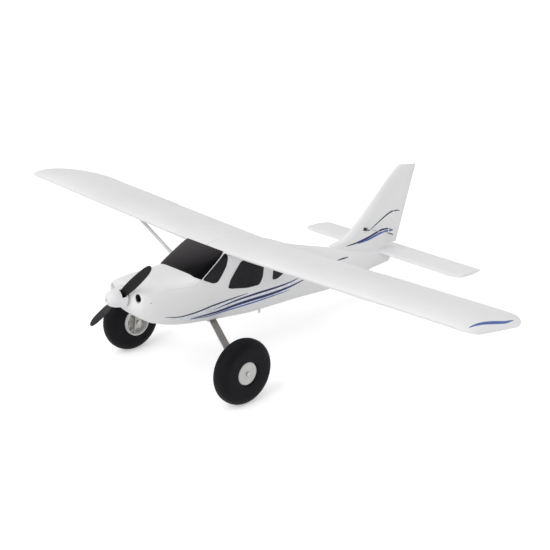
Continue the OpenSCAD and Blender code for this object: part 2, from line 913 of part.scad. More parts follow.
module speed_controller() {
    color("black") on_tray(controller_size, controller_y) cube(controller_size);
}

module receiver() {
    color("dimgray") on_tray(receiver_size, receiver_y) cube(receiver_size);
}

// Wing

module wing_spar() {
    color("black") on_root(1) translate([0, spar_y, spar_z]) cross_pin(spar_d, -spar_len / 2, spar_len / 2);
}

module spar_bore() {
    translate([0, spar_y, spar_z]) cross_pin(spar_d + 2 * pin_fit, -spare, spar_len / 2 + spare);
}

module wing_bolt() {
    translate([bolt_x, bolt_y, bolt_end_z]) cylinder(d = bolt_d, h = bolt_head_z - bolt_end_z + spare);
    translate([bolt_x, bolt_y, bolt_head_z]) cylinder(d = bolt_head_d, h = bolt_head_t);
}

module wing_bolts() {
    color("white") for (side = [1, -1]) on_panel(side) wing_bolt();
}

module bolt_hole() {
    translate([bolt_x, bolt_y, -beyond]) cylinder(d = bolt_d + 2 * pin_fit, h = 2 * beyond);
    translate([bolt_x, bolt_y, bolt_head_z]) cylinder(d = bolt_head_d + 2 * pin_fit, h = beyond);
}

// Room for a servo and its swinging arm, open below
module servo_pocket() {
    translate([0, wing_link[0], wing_link[1]]) {
        servo_room(-wing_thick);
        arm_slot();
    }
}

// Room for the flap and the aileron: a round cove about their hinge, open behind and below it
module surface_bay(from, to) {
    reach = nose_r + surface_gap;
    translate([0, hinge_y, hinge_z]) cross_pin(2 * reach, from, to);
    box([from, hinge_y, -wing_thick], [to, 2 * wing_chord, wing_thick]);
    box([from, hinge_y - reach, -wing_thick], [to, hinge_y, hinge_z]);
}

module wing_panel(side) {
    color("white") difference() {
        on_panel(side) difference() {
            loft(wing_rings);
            surface_bay(flap_start - surface_gap, aileron_end + surface_gap);
            box([-spare, flap_edge, -wing_thick], [flap_start, 2 * wing_chord, wing_thick]);
            for (x = [flap_link_x, aileron_link_x]) translate([x, hinge_y, hinge_z]) servo_pocket();
            bolt_hole();
        }
        on_root(side) spar_bore();
    }
}

module wing_left() {
    wing_panel(1);
}

module wing_right() {
    wing_panel(-1);
}

// Round-nosed surface with the wing's own shape behind the hinge, cut off at a given depth
module wing_surface(side, from, to, edge) {
    shares = [for (i = [0:surface_steps]) blend(hinge_u, edge / wing_chord, i / surface_steps)];
    outline = concat([for (u = shares) upper(u)], [for (i = [surface_steps:-1:0]) lower(shares[i])]);
    color("white") on_panel(side) {
        along_span(from, to) polygon(outline);
        translate([0, hinge_y, hinge_z]) cross_pin(2 * (nose_r - nose_step), from, to);
    }
}

module aileron_left() {
    wing_surface(1, surface_split + surface_gap / 2, aileron_end, wing_chord);
}

module aileron_right() {
    wing_surface(-1, surface_split + surface_gap / 2, aileron_end, wing_chord);
}

module flap_left() {
    wing_surface(1, flap_start, surface_split - surface_gap / 2, flap_edge);
}

module flap_right() {
    wing_surface(-1, flap_start, surface_split - surface_gap / 2, flap_edge);
}

// The right wing's strut, plugged into the fuselage and the wing
module strut_right() {
    head = [strut_wing_x, strut_wing_y, strut_head_z];
    color("gainsboro") {
        on_side(-1) {
            bar(strut_foot, panel_point(head - [0, 0, strut_pad_t / 2]), strut_d);
            translate(strut_foot) {
                cross_pin(strut_pad_d, -strut_pad_t / 2, strut_pad_t / 2);
                cross_pin(strut_peg_d, -strut_peg_len, 0);
            }
        }
        on_panel(-1) translate(head) {
            translate([0, 0, -strut_pad_t]) cylinder(d = strut_pad_d, h = strut_pad_t);
            cylinder(d = strut_peg_d, h = strut_peg_len);
        }
    }
}

// Bare peg under the left side of the belly, its root sunk in the foam
module belly_peg() {
    color("gray") translate([peg_place[0], peg_place[1], peg_end_z]) {
        cylinder(d = peg_d, h = peg_len);
        cylinder(d = peg_root_d, h = peg_top_z - peg_end_z);
    }
}

// Tail

// Stabilizer section at a place x along the span
function stab_front(x) =
    stab_sweep * abs(x) / stab_half + stab_tip * round_off(stab_half - abs(x), 2 * stab_tip);
function stab_ring(x, h) =
    let (y = stab_front(x))
    [
        [x, stab_chord, -h],
        for (p = nose_shape) [x, y + stab_nose * p[0], -h * p[1]],
        [x, y, 0],
        for (p = nose_shape_back) [x, y + stab_nose * p[0], h * p[1]],
        [x, stab_chord, h]
    ];
stab_places = [for (i = [0:stab_tip_rings]) stab_half - 2 * stab_tip * (1 - sin(90 * i / stab_tip_rings))];
function stab_half_thick(i) = stab_thick / 2 * (i == stab_tip_rings ? stab_tip_thin : 1);

module stabilizer() {
    left = [for (i = [0:stab_tip_rings]) stab_ring(stab_places[i], stab_half_thick(i))];
    right = [for (i = [stab_tip_rings:-1:0]) stab_ring(-stab_places[i], stab_half_thick(i))];
    color("white") on_stab() loft(concat(right, left));
}

module elevator() {
    half = stab_half - elevator_inset;
    color("white") on_stab() translate([0, elevator_y, 0]) difference() {
        along_span(-half, half) {
            circle(r = elevator_nose);
            polygon([
                [0, -elevator_nose], [elevator_chord, -elevator_edge_half],
                [elevator_chord, elevator_edge_half], [0, elevator_nose]
            ]);
        }
        for (side = [1, -1]) on_side(side)
            translate([half - elevator_corner, elevator_chord - elevator_corner, -stab_thick])
            difference() {
                cube([2 * elevator_corner, 2 * elevator_corner, 2 * stab_thick]);
                cylinder(r = elevator_corner, h = 2 * stab_thick);
            }
    }
}

function fin_ring(s) =
    let (front = s[1])
    let (back = rudder_y(s[0]) - (rudder_nose + surface_gap) / cos(rudder_lean))
    let (rise = (s[0] - fin_foot_z) / (fin_top_z - fin_foot_z))
    let (h = blend(fin_foot_t, fin_top_t, rise) / 2)
    let (heel = min(h, fin_back_half))
    [
        [0, front, s[0]],
        for (p = nose_shape_back) [-h * p[1], front + fin_nose * p[0], s[0]],
        [-heel, back, s[0]],
        [heel, back, s[0]],
        for (p = nose_shape) [h * p[1], front + fin_nose * p[0], s[0]]
    ];

// Room for the rudder servo, open to the right, and for its arm, open to the left
module rudder_servo_pocket() {
    on_rudder_link() translate([0, rudder_link[0], rudder_link[1]]) {
        servo_room(wing_thick);
        arm_slot();
    }
}

module fin() {
    color("white") difference() {
        loft([for (s = fin_sections) fin_ring(s)]);
        body(seat_fit);
        on_stab() box([-beyond, -seat_fit, -beyond], [beyond, beyond, stab_thick / 2 + seat_fit]);
        rudder_servo_pocket();
    }
}

module rudder() {
    color("white") difference() {
        on_rudder() translate([0, 0, -rudder_spare]) linear_extrude(beyond) {
            circle(r = rudder_nose);
            polygon([
                [-rudder_nose, 0], [rudder_nose, 0],
                [rudder_edge_half, rudder_chord], [-rudder_edge_half, rudder_chord]
            ]);
        }
        box([-beyond, 0, fin_top_z], [beyond, 3 * beyond, 2 * beyond]);
        box([-beyond, 0, -beyond], [beyond, 3 * beyond, rudder_foot[1]]);
    }
}

// Landing gear

module gear_leg() {
    hull() {
        translate([plate_half - spare, gear_plate_y, gear_top_z - leg_t])
            box([0, -leg_width / 2, 0], [spare, leg_width / 2, leg_t]);
        translate([pad_x, axle_y, axle_z + leg_pad / 2])
            box([-leg_t, -leg_foot_width / 2, 0], [0, leg_foot_width / 2, spare]);
    }
    translate([pad_x, axle_y, axle_z])
        box([-leg_t, -leg_foot_width / 2, -leg_pad / 2], [0, leg_foot_width / 2, leg_pad / 2]);
}

module main_gear() {
    color("lightgray") difference() {
        union() {
            translate([0, gear_plate_y, gear_top_z - leg_t])
                box([-plate_half, -leg_width / 2, 0], [plate_half, leg_width / 2, leg_t]);
            for (side = [1, -1]) on_side(side) gear_leg();
        }
        translate([0, axle_y, axle_z]) cross_pin(axle_d + 2 * pin_fit, -beyond, beyond);
        at_gear_screws() translate([0, 0, -leg_t]) cylinder(d = screw_d + 2 * pin_fit, h = 3 * leg_t);
    }
}

// Underside of the gear plate at its four screws
module at_gear_screws() {
    for (x = [-gear_screw_x, gear_screw_x])
        for (y = [-gear_screw_y, gear_screw_y])
            translate([x, gear_plate_y + y, gear_top_z - leg_t]) children();
}

// Screw with its head below zero and its shank upward
module screw() {
    translate([0, 0, -screw_head_t]) cylinder(d = screw_head_d, h = screw_head_t);
    translate([0, 0, -spare]) cylinder(d = screw_d, h = screw_len + spare);
}

module screws() {
    color("gray") {
        at_gear_screws() screw();
        on_shaft() at_standoffs() translate([0, 0, firewall_back - plate_fit]) screw();
        on_steer() for (y = [-bracket_screw_y, bracket_screw_y]) translate([0, y, -bracket_t]) screw();
    }
}

module axle_bolt() {
    inner = pad_face - leg_t - axle_nut_t;
    translate([0, 0, inner]) cylinder(d = axle_d, h = hub_face + wheel_side_gap - inner + spare);
    translate([0, 0, hub_face + wheel_side_gap]) cylinder(d = axle_head_d, h = axle_head_t);
    translate([0, 0, inner]) hexagon(axle_head_d, axle_nut_t);
    translate([0, 0, pad_face]) hexagon(axle_head_d, axle_nut_t);
}

module axles() {
    color("gray") for (side = [1, -1]) on_wheel(side) axle_bolt();
}

module wheel_hub(side) {
    web = hub_step - hub_web_t;
    color("lightgray") on_wheel(side) difference() {
        union() {
            translate([0, 0, hub_back]) cylinder(r = hub_boss_r, h = hub_face - hub_back);
            translate([0, 0, web]) cylinder(r = hub_face_r, h = hub_face - web);
            translate([0, 0, web]) cylinder(r = hub_back_r, h = hub_web_t);
            translate([0, 0, hub_rim_back]) difference() {
                cylinder(r = hub_back_r, h = web - hub_rim_back + spare);
                translate([0, 0, -spare])
                    cylinder(r = hub_back_r - hub_rim_t, h = web - hub_rim_back + 3 * spare);
            }
            for (i = [0:spoke_count - 1]) rotate([0, 0, 360 * i / spoke_count])
                box([hub_boss_r - spare, -spoke_t / 2, spoke_back],
                    [hub_back_r - spare, spoke_t / 2, web + spare]);
        }
        translate([0, 0, -beyond / 2]) cylinder(d = axle_d + 2 * pin_fit, h = beyond);
        for (i = [0:spoke_count - 1]) rotate([0, 0, 360 * (i + 0.5) / spoke_count])
            translate([hub_hole_at, 0, web - spare]) cylinder(d = hub_hole_d, h = hub_web_t + 2 * spare);
    }
}

module hub_left() {
    wheel_hub(1);
}

module hub_right() {
    wheel_hub(-1);
}

module tyre(side) {
    middle = (wheel_r + hub_face_r) / 2;
    reach = wheel_r - middle;
    profile = [
        for (i = [0:tyre_points - 1])
            let (turn = 360 * i / tyre_points)
            let (c = cos(turn))
            let (v = sin(turn))
            let (power = 2 / (c > 0 ? tyre_square : tyre_square_inside))
            [
                middle + reach * sign(c) * pow(abs(c), power),
                tyre_width / 2 * sign(v) * pow(abs(v), power)
            ]
    ];
    color("black") on_wheel(side) rotate_extrude($fn = tyre_steps) difference() {
        polygon(profile);
        translate([0, -tyre_width]) square([hub_face_r + seat_fit, 2 * tyre_width]);
        translate([0, -tyre_width]) square([hub_back_r + seat_fit, tyre_width + hub_step]);
    }
}

module tyre_left() {
    tyre(1);
}

module tyre_right() {
    tyre(-1);
}

module tail_bracket() {
    tube_end = fork_z + fork_crown_t + steer_gap;
    color("gray") on_steer() difference() {
        union() {
            box([-bracket_width / 2, -bracket_half, -bracket_t], [bracket_width / 2, bracket_half, 0]);
            translate([0, 0, tube_end]) cylinder(d = bracket_tube_d, h = -bracket_t - tube_end + spare);
        }
        translate([0, 0, -beyond / 2]) cylinder(d = steer_pin_d + 2 * pin_fit, h = beyond);
        for (y = [-bracket_screw_y, bracket_screw_y]) translate([0, y, -beyond / 2])
            cylinder(d = screw_d + 2 * pin_fit, h = beyond);
    }
}

module tail_fork() {
    inner = tail_wheel_w / 2 + tail_side_gap;
    outer = inner + fork_t;
    color("gray") on_steer() {
        box([-outer, -fork_half, fork_z], [outer, tail_trail + fork_half, fork_z + fork_crown_t]);
        translate([0, 0, fork_z + spare]) cylinder(d = steer_pin_d, h = steer_pin_top - fork_z - spare);
        for (side = [1, -1]) on_side(side)
            box([inner, tail_trail - fork_half, -tail_drop - fork_half],
                [outer, tail_trail + fork_half, fork_z + spare]);
        translate([0, tail_trail, -tail_drop]) cross_pin(tail_axle_d, -outer, outer);
    }
}

module tail_wheel() {
    half = tail_wheel_w / 2;
    color("black") on_steer() translate([0, tail_trail, -tail_drop]) rotate([0, 90, 0])
        rotate_extrude() polygon([
            [tail_axle_d / 2 + pin_fit, -half],
            [tail_wheel_r - tail_wheel_edge, -half],
            [tail_wheel_r, tail_wheel_edge - half],
            [tail_wheel_r, half - tail_wheel_edge],
            [tail_wheel_r - tail_wheel_edge, half],
            [tail_axle_d / 2 + pin_fit, half]
        ]);
}

// Servos and linkages, each in its link frame

// The servo's case between two heights across its shaft
module servo_case(fit, low, high) {
    box([-servo_boss - servo_height - fit, -servo_shaft_from_end - fit, low - fit],
        [-servo_boss + fit, servo_len - servo_shaft_from_end + fit, high + fit]);
}

// Room for the case, drawn out to one side as far as a given height
module servo_room(out) {
    servo_case(pocket_fit, min(out, -servo_width / 2), max(out, servo_width / 2));
}

// Room for the swinging arm, open towards its pin
module arm_slot() {
    box([-servo_boss, -slot_reach, -wing_thick], [rod_x + rod_d, slot_reach, arm_hub_r + slot_clear]);
}

module servo(link) {
    translate([0, link[0], link[1]]) {
        servo_case(0, -servo_width / 2, servo_width / 2);
        cross_pin(2 * arm_hub_r, -servo_boss - spare, -boss_gap);
        cross_pin(spline_d, -servo_boss, plate_t);
    }
}

module servos() {
    color("royalblue") {
        for (side = [1, -1]) for (x = [flap_link_x, aileron_link_x]) on_wing_link(side, x) servo(wing_link);
        on_elevator_link() servo(elevator_link);
        on_rudder_link() servo(rudder_link);
    }
}

module link_arm(link) {
    color("white") translate([0, link[0], link[1]]) difference() {
        union() {
            cross_pin(2 * arm_hub_r, 0, plate_t);
            translate([0, 0, -link_radius]) cross_pin(2 * arm_eye_r, 0, plate_t);
            along_span(0, plate_t)
                polygon([
                    [-arm_root, 0], [arm_root, 0],
                    [arm_tip, -link_radius], [-arm_tip, -link_radius]
                ]);
        }
        cross_pin(spline_d + 2 * pin_fit, -spare, plate_t + spare);
        translate([0, 0, -link_radius]) cross_pin(rod_d + 2 * pin_fit, -spare, plate_t + spare);
    }
}

module link_rod(link) {
    far = [rod_x, link[0], link[1] - link_radius];
    near = [rod_x, 0, -link_radius];
    color("silver") {
        bar(far, near, rod_wire_d);
        for (p = [far, near]) translate([0, p[1], p[2]]) cross_pin(rod_d, -pin_end, rod_x + rod_d / 2);
    }
}

module link_horn() {
    color("black") difference() {
        union() {
            along_span(0, plate_t)
                polygon([
                    [horn_front, horn_sink], [horn_back, horn_sink],
                    [arm_tip, -link_radius], [-arm_tip, -link_radius]
                ]);
            translate([0, 0, -link_radius]) cross_pin(2 * arm_eye_r, 0, plate_t);
        }
        translate([0, 0, -link_radius]) cross_pin(rod_d + 2 * pin_fit, -spare, plate_t + spare);
    }
}

module aileron_arm_left() {
    on_wing_link(1, aileron_link_x) link_arm(wing_link);
}

module aileron_arm_right() {
    on_wing_link(-1, aileron_link_x) link_arm(wing_link);
}

module flap_arm_left() {
    on_wing_link(1, flap_link_x) link_arm(wing_link);
}

module flap_arm_right() {
    on_wing_link(-1, flap_link_x) link_arm(wing_link);
}

module elevator_arm() {
    on_elevator_link() link_arm(elevator_link);
}

module rudder_arm() {
    on_rudder_link() link_arm(rudder_link);
}

module aileron_rod_left() {
    on_wing_link(1, aileron_link_x) link_rod(wing_link);
}

module aileron_rod_right() {
    on_wing_link(-1, aileron_link_x) link_rod(wing_link);
}

module flap_rod_left() {
    on_wing_link(1, flap_link_x) link_rod(wing_link);
}

module flap_rod_right() {
    on_wing_link(-1, flap_link_x) link_rod(wing_link);
}

module elevator_rod() {
    on_elevator_link() link_rod(elevator_link);
}

module rudder_rod() {
    on_rudder_link() link_rod(rudder_link);
}

module aileron_horn_left() {
    on_wing_link(1, aileron_link_x) link_horn();
}

module aileron_horn_right() {
    on_wing_link(-1, aileron_link_x) link_horn();
}

module flap_horn_left() {
    on_wing_link(1, flap_link_x) link_horn();
}

module flap_horn_right() {
    on_wing_link(-1, flap_link_x) link_horn();
}

module elevator_horn() {
    on_elevator_link() link_horn();
}

module rudder_horn() {
    on_rudder_link() link_horn();
}

standing() fuselage_left();
standing() fuselage_right();
standing() cowl();
standing() hatch();
standing() windshield();
standing() side_windows();
standing() firewall();
standing() motor_mount();
standing() motor_bell();
standing() propeller();
standing() spinner();
standing() prop_fixings();
standing() equipment_tray();
standing() battery();
standing() battery_strap();
standing() speed_controller();
standing() receiver();
standing() wing_left();
standing() wing_right();
standing() wing_spar();
standing() wing_bolts();
standing() aileron_left();
standing() aileron_right();
standing() flap_left();
standing() flap_right();
standing() strut_right();
standing() belly_peg();
standing() stabilizer();
standing() elevator();
standing() fin();
standing() rudder();
standing() tail_bracket();
standing() tail_fork();
standing() tail_wheel();
standing() main_gear();
standing() screws();
standing() axles();
standing() hub_left();
standing() hub_right();
standing() tyre_left();
standing() tyre_right();
standing() servos();
standing() aileron_arm_left();
standing() aileron_arm_right();
standing() flap_arm_left();
standing() flap_arm_right();
standing() elevator_arm();
standing() rudder_arm();
standing() aileron_rod_left();
standing() aileron_rod_right();
standing() flap_rod_left();
standing() flap_rod_right();
standing() elevator_rod();
standing() rudder_rod();
standing() aileron_horn_left();
standing() aileron_horn_right();
standing() flap_horn_left();
standing() flap_horn_right();
standing() elevator_horn();
standing() rudder_horn();
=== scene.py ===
# Foam model airplane: the looks of every piece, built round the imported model.
# Sizes are millimetres in the level frame of the fuselage: +X to the left wing, +Y aft, +Z up.
import json
import math

import bmesh
import bpy
from mathutils import Matrix, Vector


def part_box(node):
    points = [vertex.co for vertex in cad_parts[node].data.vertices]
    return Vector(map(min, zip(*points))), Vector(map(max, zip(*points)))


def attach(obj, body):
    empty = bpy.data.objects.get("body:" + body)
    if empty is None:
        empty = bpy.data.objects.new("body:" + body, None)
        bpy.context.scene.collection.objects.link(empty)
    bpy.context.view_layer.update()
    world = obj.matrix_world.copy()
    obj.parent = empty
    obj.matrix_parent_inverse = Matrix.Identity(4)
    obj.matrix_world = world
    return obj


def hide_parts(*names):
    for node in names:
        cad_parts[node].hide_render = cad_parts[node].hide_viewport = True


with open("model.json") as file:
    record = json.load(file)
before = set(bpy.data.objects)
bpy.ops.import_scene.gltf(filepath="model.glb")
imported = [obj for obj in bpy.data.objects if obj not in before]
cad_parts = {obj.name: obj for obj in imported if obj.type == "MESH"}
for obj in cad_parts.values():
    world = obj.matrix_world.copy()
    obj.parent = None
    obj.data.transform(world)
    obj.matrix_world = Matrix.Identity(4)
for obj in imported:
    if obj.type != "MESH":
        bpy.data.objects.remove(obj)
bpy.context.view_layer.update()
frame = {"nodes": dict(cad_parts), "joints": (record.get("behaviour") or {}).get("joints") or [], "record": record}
joints = {joint["name"]: joint for joint in frame["joints"]}

# Frames

MM = 0.001
DOWN_THRUST = math.radians(3)
PROP_PLACE = Vector((0, -285, -30))
WING_EDGE = Vector((0, -93, 40))
WING_INCIDENCE = math.radians(3)
WING_DIHEDRAL = math.radians(1.8)
STAB_EDGE = Vector((0, 378, -26))
STAB_SET = math.radians(4)
RUDDER_FOOT = Vector((0, 410, -9))
RUDDER_LEAN = math.radians(12.2)
TRACK_HALF = 166
AXLE = Vector((TRACK_HALF, -131, -144))


def turn(angle, axis):
    return Matrix.Rotation(angle, 4, axis)


def shift(place):
    return Matrix.Translation(Vector(place))


def mirrored(side):
    return Matrix.Diagonal((side, 1, 1, 1))


shaft_way = Vector(joints["propeller_spin"]["axis"])
STANCE = math.atan2(shaft_way.z, -shaft_way.y) + DOWN_THRUST
LEVEL = (
    shift(joints["propeller_spin"]["pos_m"])
    @ turn(-STANCE, "X")
    @ Matrix.Diagonal((MM, MM, MM, 1))
    @ shift(-PROP_PLACE)
)
SHAFT = LEVEL @ shift(PROP_PLACE) @ turn(math.radians(90) + DOWN_THRUST, "X")
STAB = LEVEL @ shift(STAB_EDGE) @ turn(STAB_SET, "X")
RUDDER = LEVEL @ shift(RUDDER_FOOT) @ turn(-RUDDER_LEAN, "X")
SIDES = {"left": 1, "right": -1}


def panel(side):
    return LEVEL @ mirrored(side) @ shift(WING_EDGE) @ turn(-WING_INCIDENCE, "X") @ turn(-WING_DIHEDRAL, "Y")


def wheel(side):
    return LEVEL @ mirrored(side) @ shift(AXLE) @ turn(math.radians(90), "Y")


# Mesh helpers

SMOOTH_ANGLE = math.radians(32)
WELD = 0.01 * MM
EDGE_SEGMENTS = 2


def new_object(name, points, faces, matrix=LEVEL):
    mesh = bpy.data.meshes.new(name)
    mesh.from_pydata([matrix @ Vector(p) for p in points], [], faces)
    shape = bmesh.new()
    shape.from_mesh(mesh)
    bmesh.ops.remove_doubles(shape, verts=shape.verts, dist=WELD)
    bmesh.ops.recalc_face_normals(shape, faces=shape.faces)
    shape.to_mesh(mesh)
    shape.free()
    obj = bpy.data.objects.new(name, mesh)
    bpy.context.scene.collection.objects.link(obj)
    return obj


def loft(name, rings, matrix=LEVEL, closed=False):
    """A closed skin through rings of equal counts; closed joins the last ring to the first."""
    count = len(rings[0])
    points = [p for ring in rings for p in ring]
    pairs = [(r, (r + 1) % len(rings)) for r in range(len(rings) if closed else len(rings) - 1)]
    faces = []
    for low, high in pairs:
        for i in range(count):
            j = (i + 1) % count
            faces.append((low * count + i, low * count + j, high * count + j, high * count + i))
    if not closed:
        last = (len(rings) - 1) * count
        faces.append(tuple(range(count - 1, -1, -1)))
        faces.append(tuple(last + i for i in range(count)))
    return new_object(name, points, faces, matrix)


def prism(name, outline, start, end, matrix=LEVEL):
    """An outline drawn in (aft, up), drawn out along X."""
    return loft(name, [[(x, y, z) for y, z in outline] for x in (start, end)], matrix)


def block(name, low, high, matrix=LEVEL):
    outline = [(low[1], low[2]), (high[1], low[2]), (high[1], high[2]), (low[1], high[2])]
    return prism(name, outline, low[0], high[0], matrix)


def lathe(name, profile, matrix, steps=96):
    """A closed profile of (radius, height) turned about Z."""
    rings = []
    for i in range(steps):
        angle = 2 * math.pi * i / steps
        rings.append([(r * math.cos(angle), r * math.sin(angle), h) for r, h in profile])
    return loft(name, rings, matrix, closed=True)


def rod(name, radius, start, end, matrix, steps=32):
    """A round bar along Z."""
    ring = [(radius * math.cos(2 * math.pi * i / steps), radius * math.sin(2 * math.pi * i / steps))
            for i in range(steps)]
    return loft(name, [[(x, y, z) for x, y in ring] for z in (start, end)], matrix)


def settle(obj):
    """Turns the modifiers into plain mesh."""
    graph = bpy.context.evaluated_depsgraph_get()
    mesh = bpy.data.meshes.new_from_object(obj.evaluated_get(graph))
    obj.modifiers.clear()
    obj.data = mesh
    return obj


def carve(obj, operation, *tools):
    for tool in tools:
        change = obj.modifiers.new("carve", "BOOLEAN")
        change.operation = operation
        change.solver = "EXACT"
        change.object = tool
    settle(obj)
    for tool in tools:
        bpy.data.objects.remove(tool)
    return obj


def copy_of(obj, name):
    twin = bpy.data.objects.new(name, obj.data.copy())
    bpy.context.scene.collection.objects.link(twin)
    return twin


def smooth(obj):
    obj.data.shade_smooth()
    obj.data.set_sharp_from_angle(angle=SMOOTH_ANGLE)
    return obj


def soften(obj, width):
    """Rounds the sharp edges of a piece by a width in millimetres."""
    bevel = obj.modifiers.new("edges", "BEVEL")
    bevel.width = width * MM
    bevel.segments = EDGE_SEGMENTS
    bevel.limit_method = "ANGLE"
    bevel.angle_limit = SMOOTH_ANGLE
    settle(obj)
    return smooth(obj)


def present(obj, body, material, slot, *nodes):
    obj.data.materials.clear()
    obj.data.materials.append(material)
    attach(obj, body)
    if nodes:
        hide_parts(*nodes)
    return obj


# Curves

CORNER_STEPS = 6
CORNER_SHARE = 0.45


def blend(a, b, t):
    return a + (b - a) * t


def round_off(distance, length):
    """Share that a rounded end cuts away, from 1 at the end to 0 at a length from it."""
    if distance >= length:
        return 0
    return 1 - math.sqrt(1 - ((length - distance) / length) ** 2)


def end_places(length, steps):
    """Distances from a rounded end, closer together towards it."""
    return [length * (1 - math.sin(math.pi / 2 * i / steps)) for i in range(steps + 1)]


def rounded(outline, radius):
    """An outline with each corner turned into a short curve."""
    points = []
    for i, corner in enumerate(outline):
        corner = Vector(corner)
        before = Vector(outline[i - 1]) - corner
        after = Vector(outline[(i + 1) % len(outline)]) - corner
        reach = min(radius, CORNER_SHARE * before.length, CORNER_SHARE * after.length)
        first = corner + before.normalized() * reach
        last = corner + after.normalized() * reach
        for k in range(CORNER_STEPS + 1):
            t = k / CORNER_STEPS
            points.append(first * (1 - t) ** 2 + corner * 2 * t * (1 - t) + last * t ** 2)
    return [tuple(p) for p in points]


def slopes(xs, ys):
    """Slopes of a curve that never overshoots its points."""
    steps = [(ys[i + 1] - ys[i]) / (xs[i + 1] - xs[i]) for i in range(len(xs) - 1)]
    inner = []
    for a, b in zip(steps, steps[1:]):
        inner.append(2 * a * b / (a + b) if a * b > 0 else 0)
    return [steps[0]] + inner + [steps[-1]]


def curve_at(xs, ys, x):
    i = max(k for k in range(len(xs) - 1) if k == 0 or xs[k] <= x)
    width = xs[i + 1] - xs[i]
    t = (x - xs[i]) / width
    start, end = slopes(xs, ys)[i:i + 2]
    return (
        ys[i] * (1 + 2 * t) * (1 - t) ** 2
        + start * width * t * (1 - t) ** 2
        + ys[i + 1] * t * t * (3 - 2 * t)
        + end * width * t * t * (t - 1)
    )


# Materials


class Surface:
    """A new material with a Principled shader and short calls for its nodes."""

    def __init__(self, name, colour, roughness, **sockets):
        self.material = bpy.data.materials.new(name)
        self.material.use_nodes = True
        self.nodes = self.material.node_tree.nodes
        self.links = self.material.node_tree.links
        self.shader = self.nodes["Principled BSDF"]
        self.shader.inputs["Base Color"].default_value = (*colour, 1)
        self.shader.inputs["Roughness"].default_value = roughness
        for socket, value in sockets.items():
            self.shader.inputs[socket.replace("_", " ")].default_value = value
        self.place = self.nodes.new("ShaderNodeTexCoord").outputs["Object"]
        self.bump_end = None

    def texture(self, kind, scale, **values):
        node = self.nodes.new(kind)
        self.links.new(self.place, node.inputs["Vector"])
        node.inputs["Scale"].default_value = scale
        for socket, value in values.items():
            node.inputs[socket].default_value = value
        return node

    def ramp(self, source, low, high, start=0.35, end=0.65):
        node = self.nodes.new("ShaderNodeValToRGB")
        node.color_ramp.elements[0].position = start
        node.color_ramp.elements[1].position = end
        node.color_ramp.elements[0].color = (*low, 1)
        node.color_ramp.elements[1].color = (*high, 1)
        self.links.new(source, node.inputs["Fac"])
        return node.outputs["Color"]

    def colour(self, source, low, high, start=0.35, end=0.65):
        self.links.new(self.ramp(source, low, high, start, end), self.shader.inputs["Base Color"])

    def roughness(self, source, low, high, start=0.3, end=0.7):
        grey = self.ramp(source, (low,) * 3, (high,) * 3, start, end)
        self.links.new(grey, self.shader.inputs["Roughness"])

    def bump(self, source, depth, strength):
        node = self.nodes.new("ShaderNodeBump")
        node.inputs["Distance"].default_value = depth * MM
        node.inputs["Strength"].default_value = strength
        self.links.new(source, node.inputs["Height"])
        if self.bump_end:
            self.links.new(self.bump_end, node.inputs["Normal"])
        self.bump_end = node.outputs["Normal"]
        self.links.new(self.bump_end, self.shader.inputs["Normal"])


def foam_material():
    foam = Surface("moulded_foam", (0.83, 0.83, 0.84), 0.55, Specular_IOR_Level=0.25)
    beads = foam.texture("ShaderNodeTexVoronoi", 320)
    clouds = foam.texture("ShaderNodeTexNoise", 9, Detail=4)
    foam.colour(clouds.outputs["Fac"], (0.815, 0.815, 0.825), (0.85, 0.85, 0.855))
    foam.roughness(clouds.outputs["Fac"], 0.5, 0.6)
    foam.bump(beads.outputs["Distance"], 0.06, 0.4)
    return foam.material


def film_material():
    film = Surface("window_film", (0.01, 0.009, 0.011), 0.25, Specular_IOR_Level=0.12)
    clouds = film.texture("ShaderNodeTexNoise", 14, Detail=3)
    film.colour(clouds.outputs["Fac"], (0.006, 0.0055, 0.007), (0.012, 0.01, 0.0125))
    film.roughness(clouds.outputs["Fac"], 0.2, 0.32)
    return film.material


# Tilt of the painted reflection across the windshield
PAINTED_REFLECTION_SLANT = 0.4


def windshield_painted_reflection_material():
    """The same film, with a painted reflection that makes it lighter towards its top and its right side."""
    film = Surface("windshield_film", (0.01, 0.009, 0.011), 0.25, Specular_IOR_Level=0.05)
    height = film.nodes.new("ShaderNodeVectorMath")
    height.operation = "DOT_PRODUCT"
    film.links.new(film.place, height.inputs[0])
    height.inputs[1].default_value = (-PAINTED_REFLECTION_SLANT, 0, 1)
    low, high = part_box("windshield")
    span = film.nodes.new("ShaderNodeMapRange")
    span.inputs["From Min"].default_value = low[2] - PAINTED_REFLECTION_SLANT * high[0]
    span.inputs["From Max"].default_value = high[2] - PAINTED_REFLECTION_SLANT * low[0]
    film.links.new(height.outputs["Value"], span.inputs["Value"])
    # Painted reflection: the colour runs from near black low down to a lighter grey high up and to the right
    film.colour(span.outputs["Result"], (0.002, 0.0015, 0.0025), (0.08, 0.072, 0.077), 0.3, 1)
    clouds = film.texture("ShaderNodeTexNoise", 14, Detail=3)
    film.roughness(clouds.outputs["Fac"], 0.22, 0.34)
    return film.material


def ink_material(name, colour):
    ink = Surface(name, colour, 0.45, Specular_IOR_Level=0.3)
    print_grain = ink.texture("ShaderNodeTexNoise", 120, Detail=3)
    low = tuple(c * 0.85 for c in colour)
    high = tuple(min(1, c * 1.12) for c in colour)
    ink.colour(print_grain.outputs["Fac"], low, high)
    ink.roughness(print_grain.outputs["Fac"], 0.4, 0.52)
    return ink.material


def plastic_material(name, colour, roughness, grain=900, depth=0.03, spread=0.12, shine=0.35):
    plastic = Surface(name, colour, roughness, Specular_IOR_Level=shine)
    clouds = plastic.texture("ShaderNodeTexNoise", 40, Detail=3)
    specks = plastic.texture("ShaderNodeTexNoise", grain, Detail=2)
    low = tuple(c * (1 - spread) for c in colour)
    high = tuple(min(1, c * (1 + spread)) for c in colour)
    plastic.colour(clouds.outputs["Fac"], low, high)
    plastic.roughness(clouds.outputs["Fac"], roughness - 0.05, roughness + 0.08)
    plastic.bump(specks.outputs["Fac"], depth, 0.4)
    return plastic.material


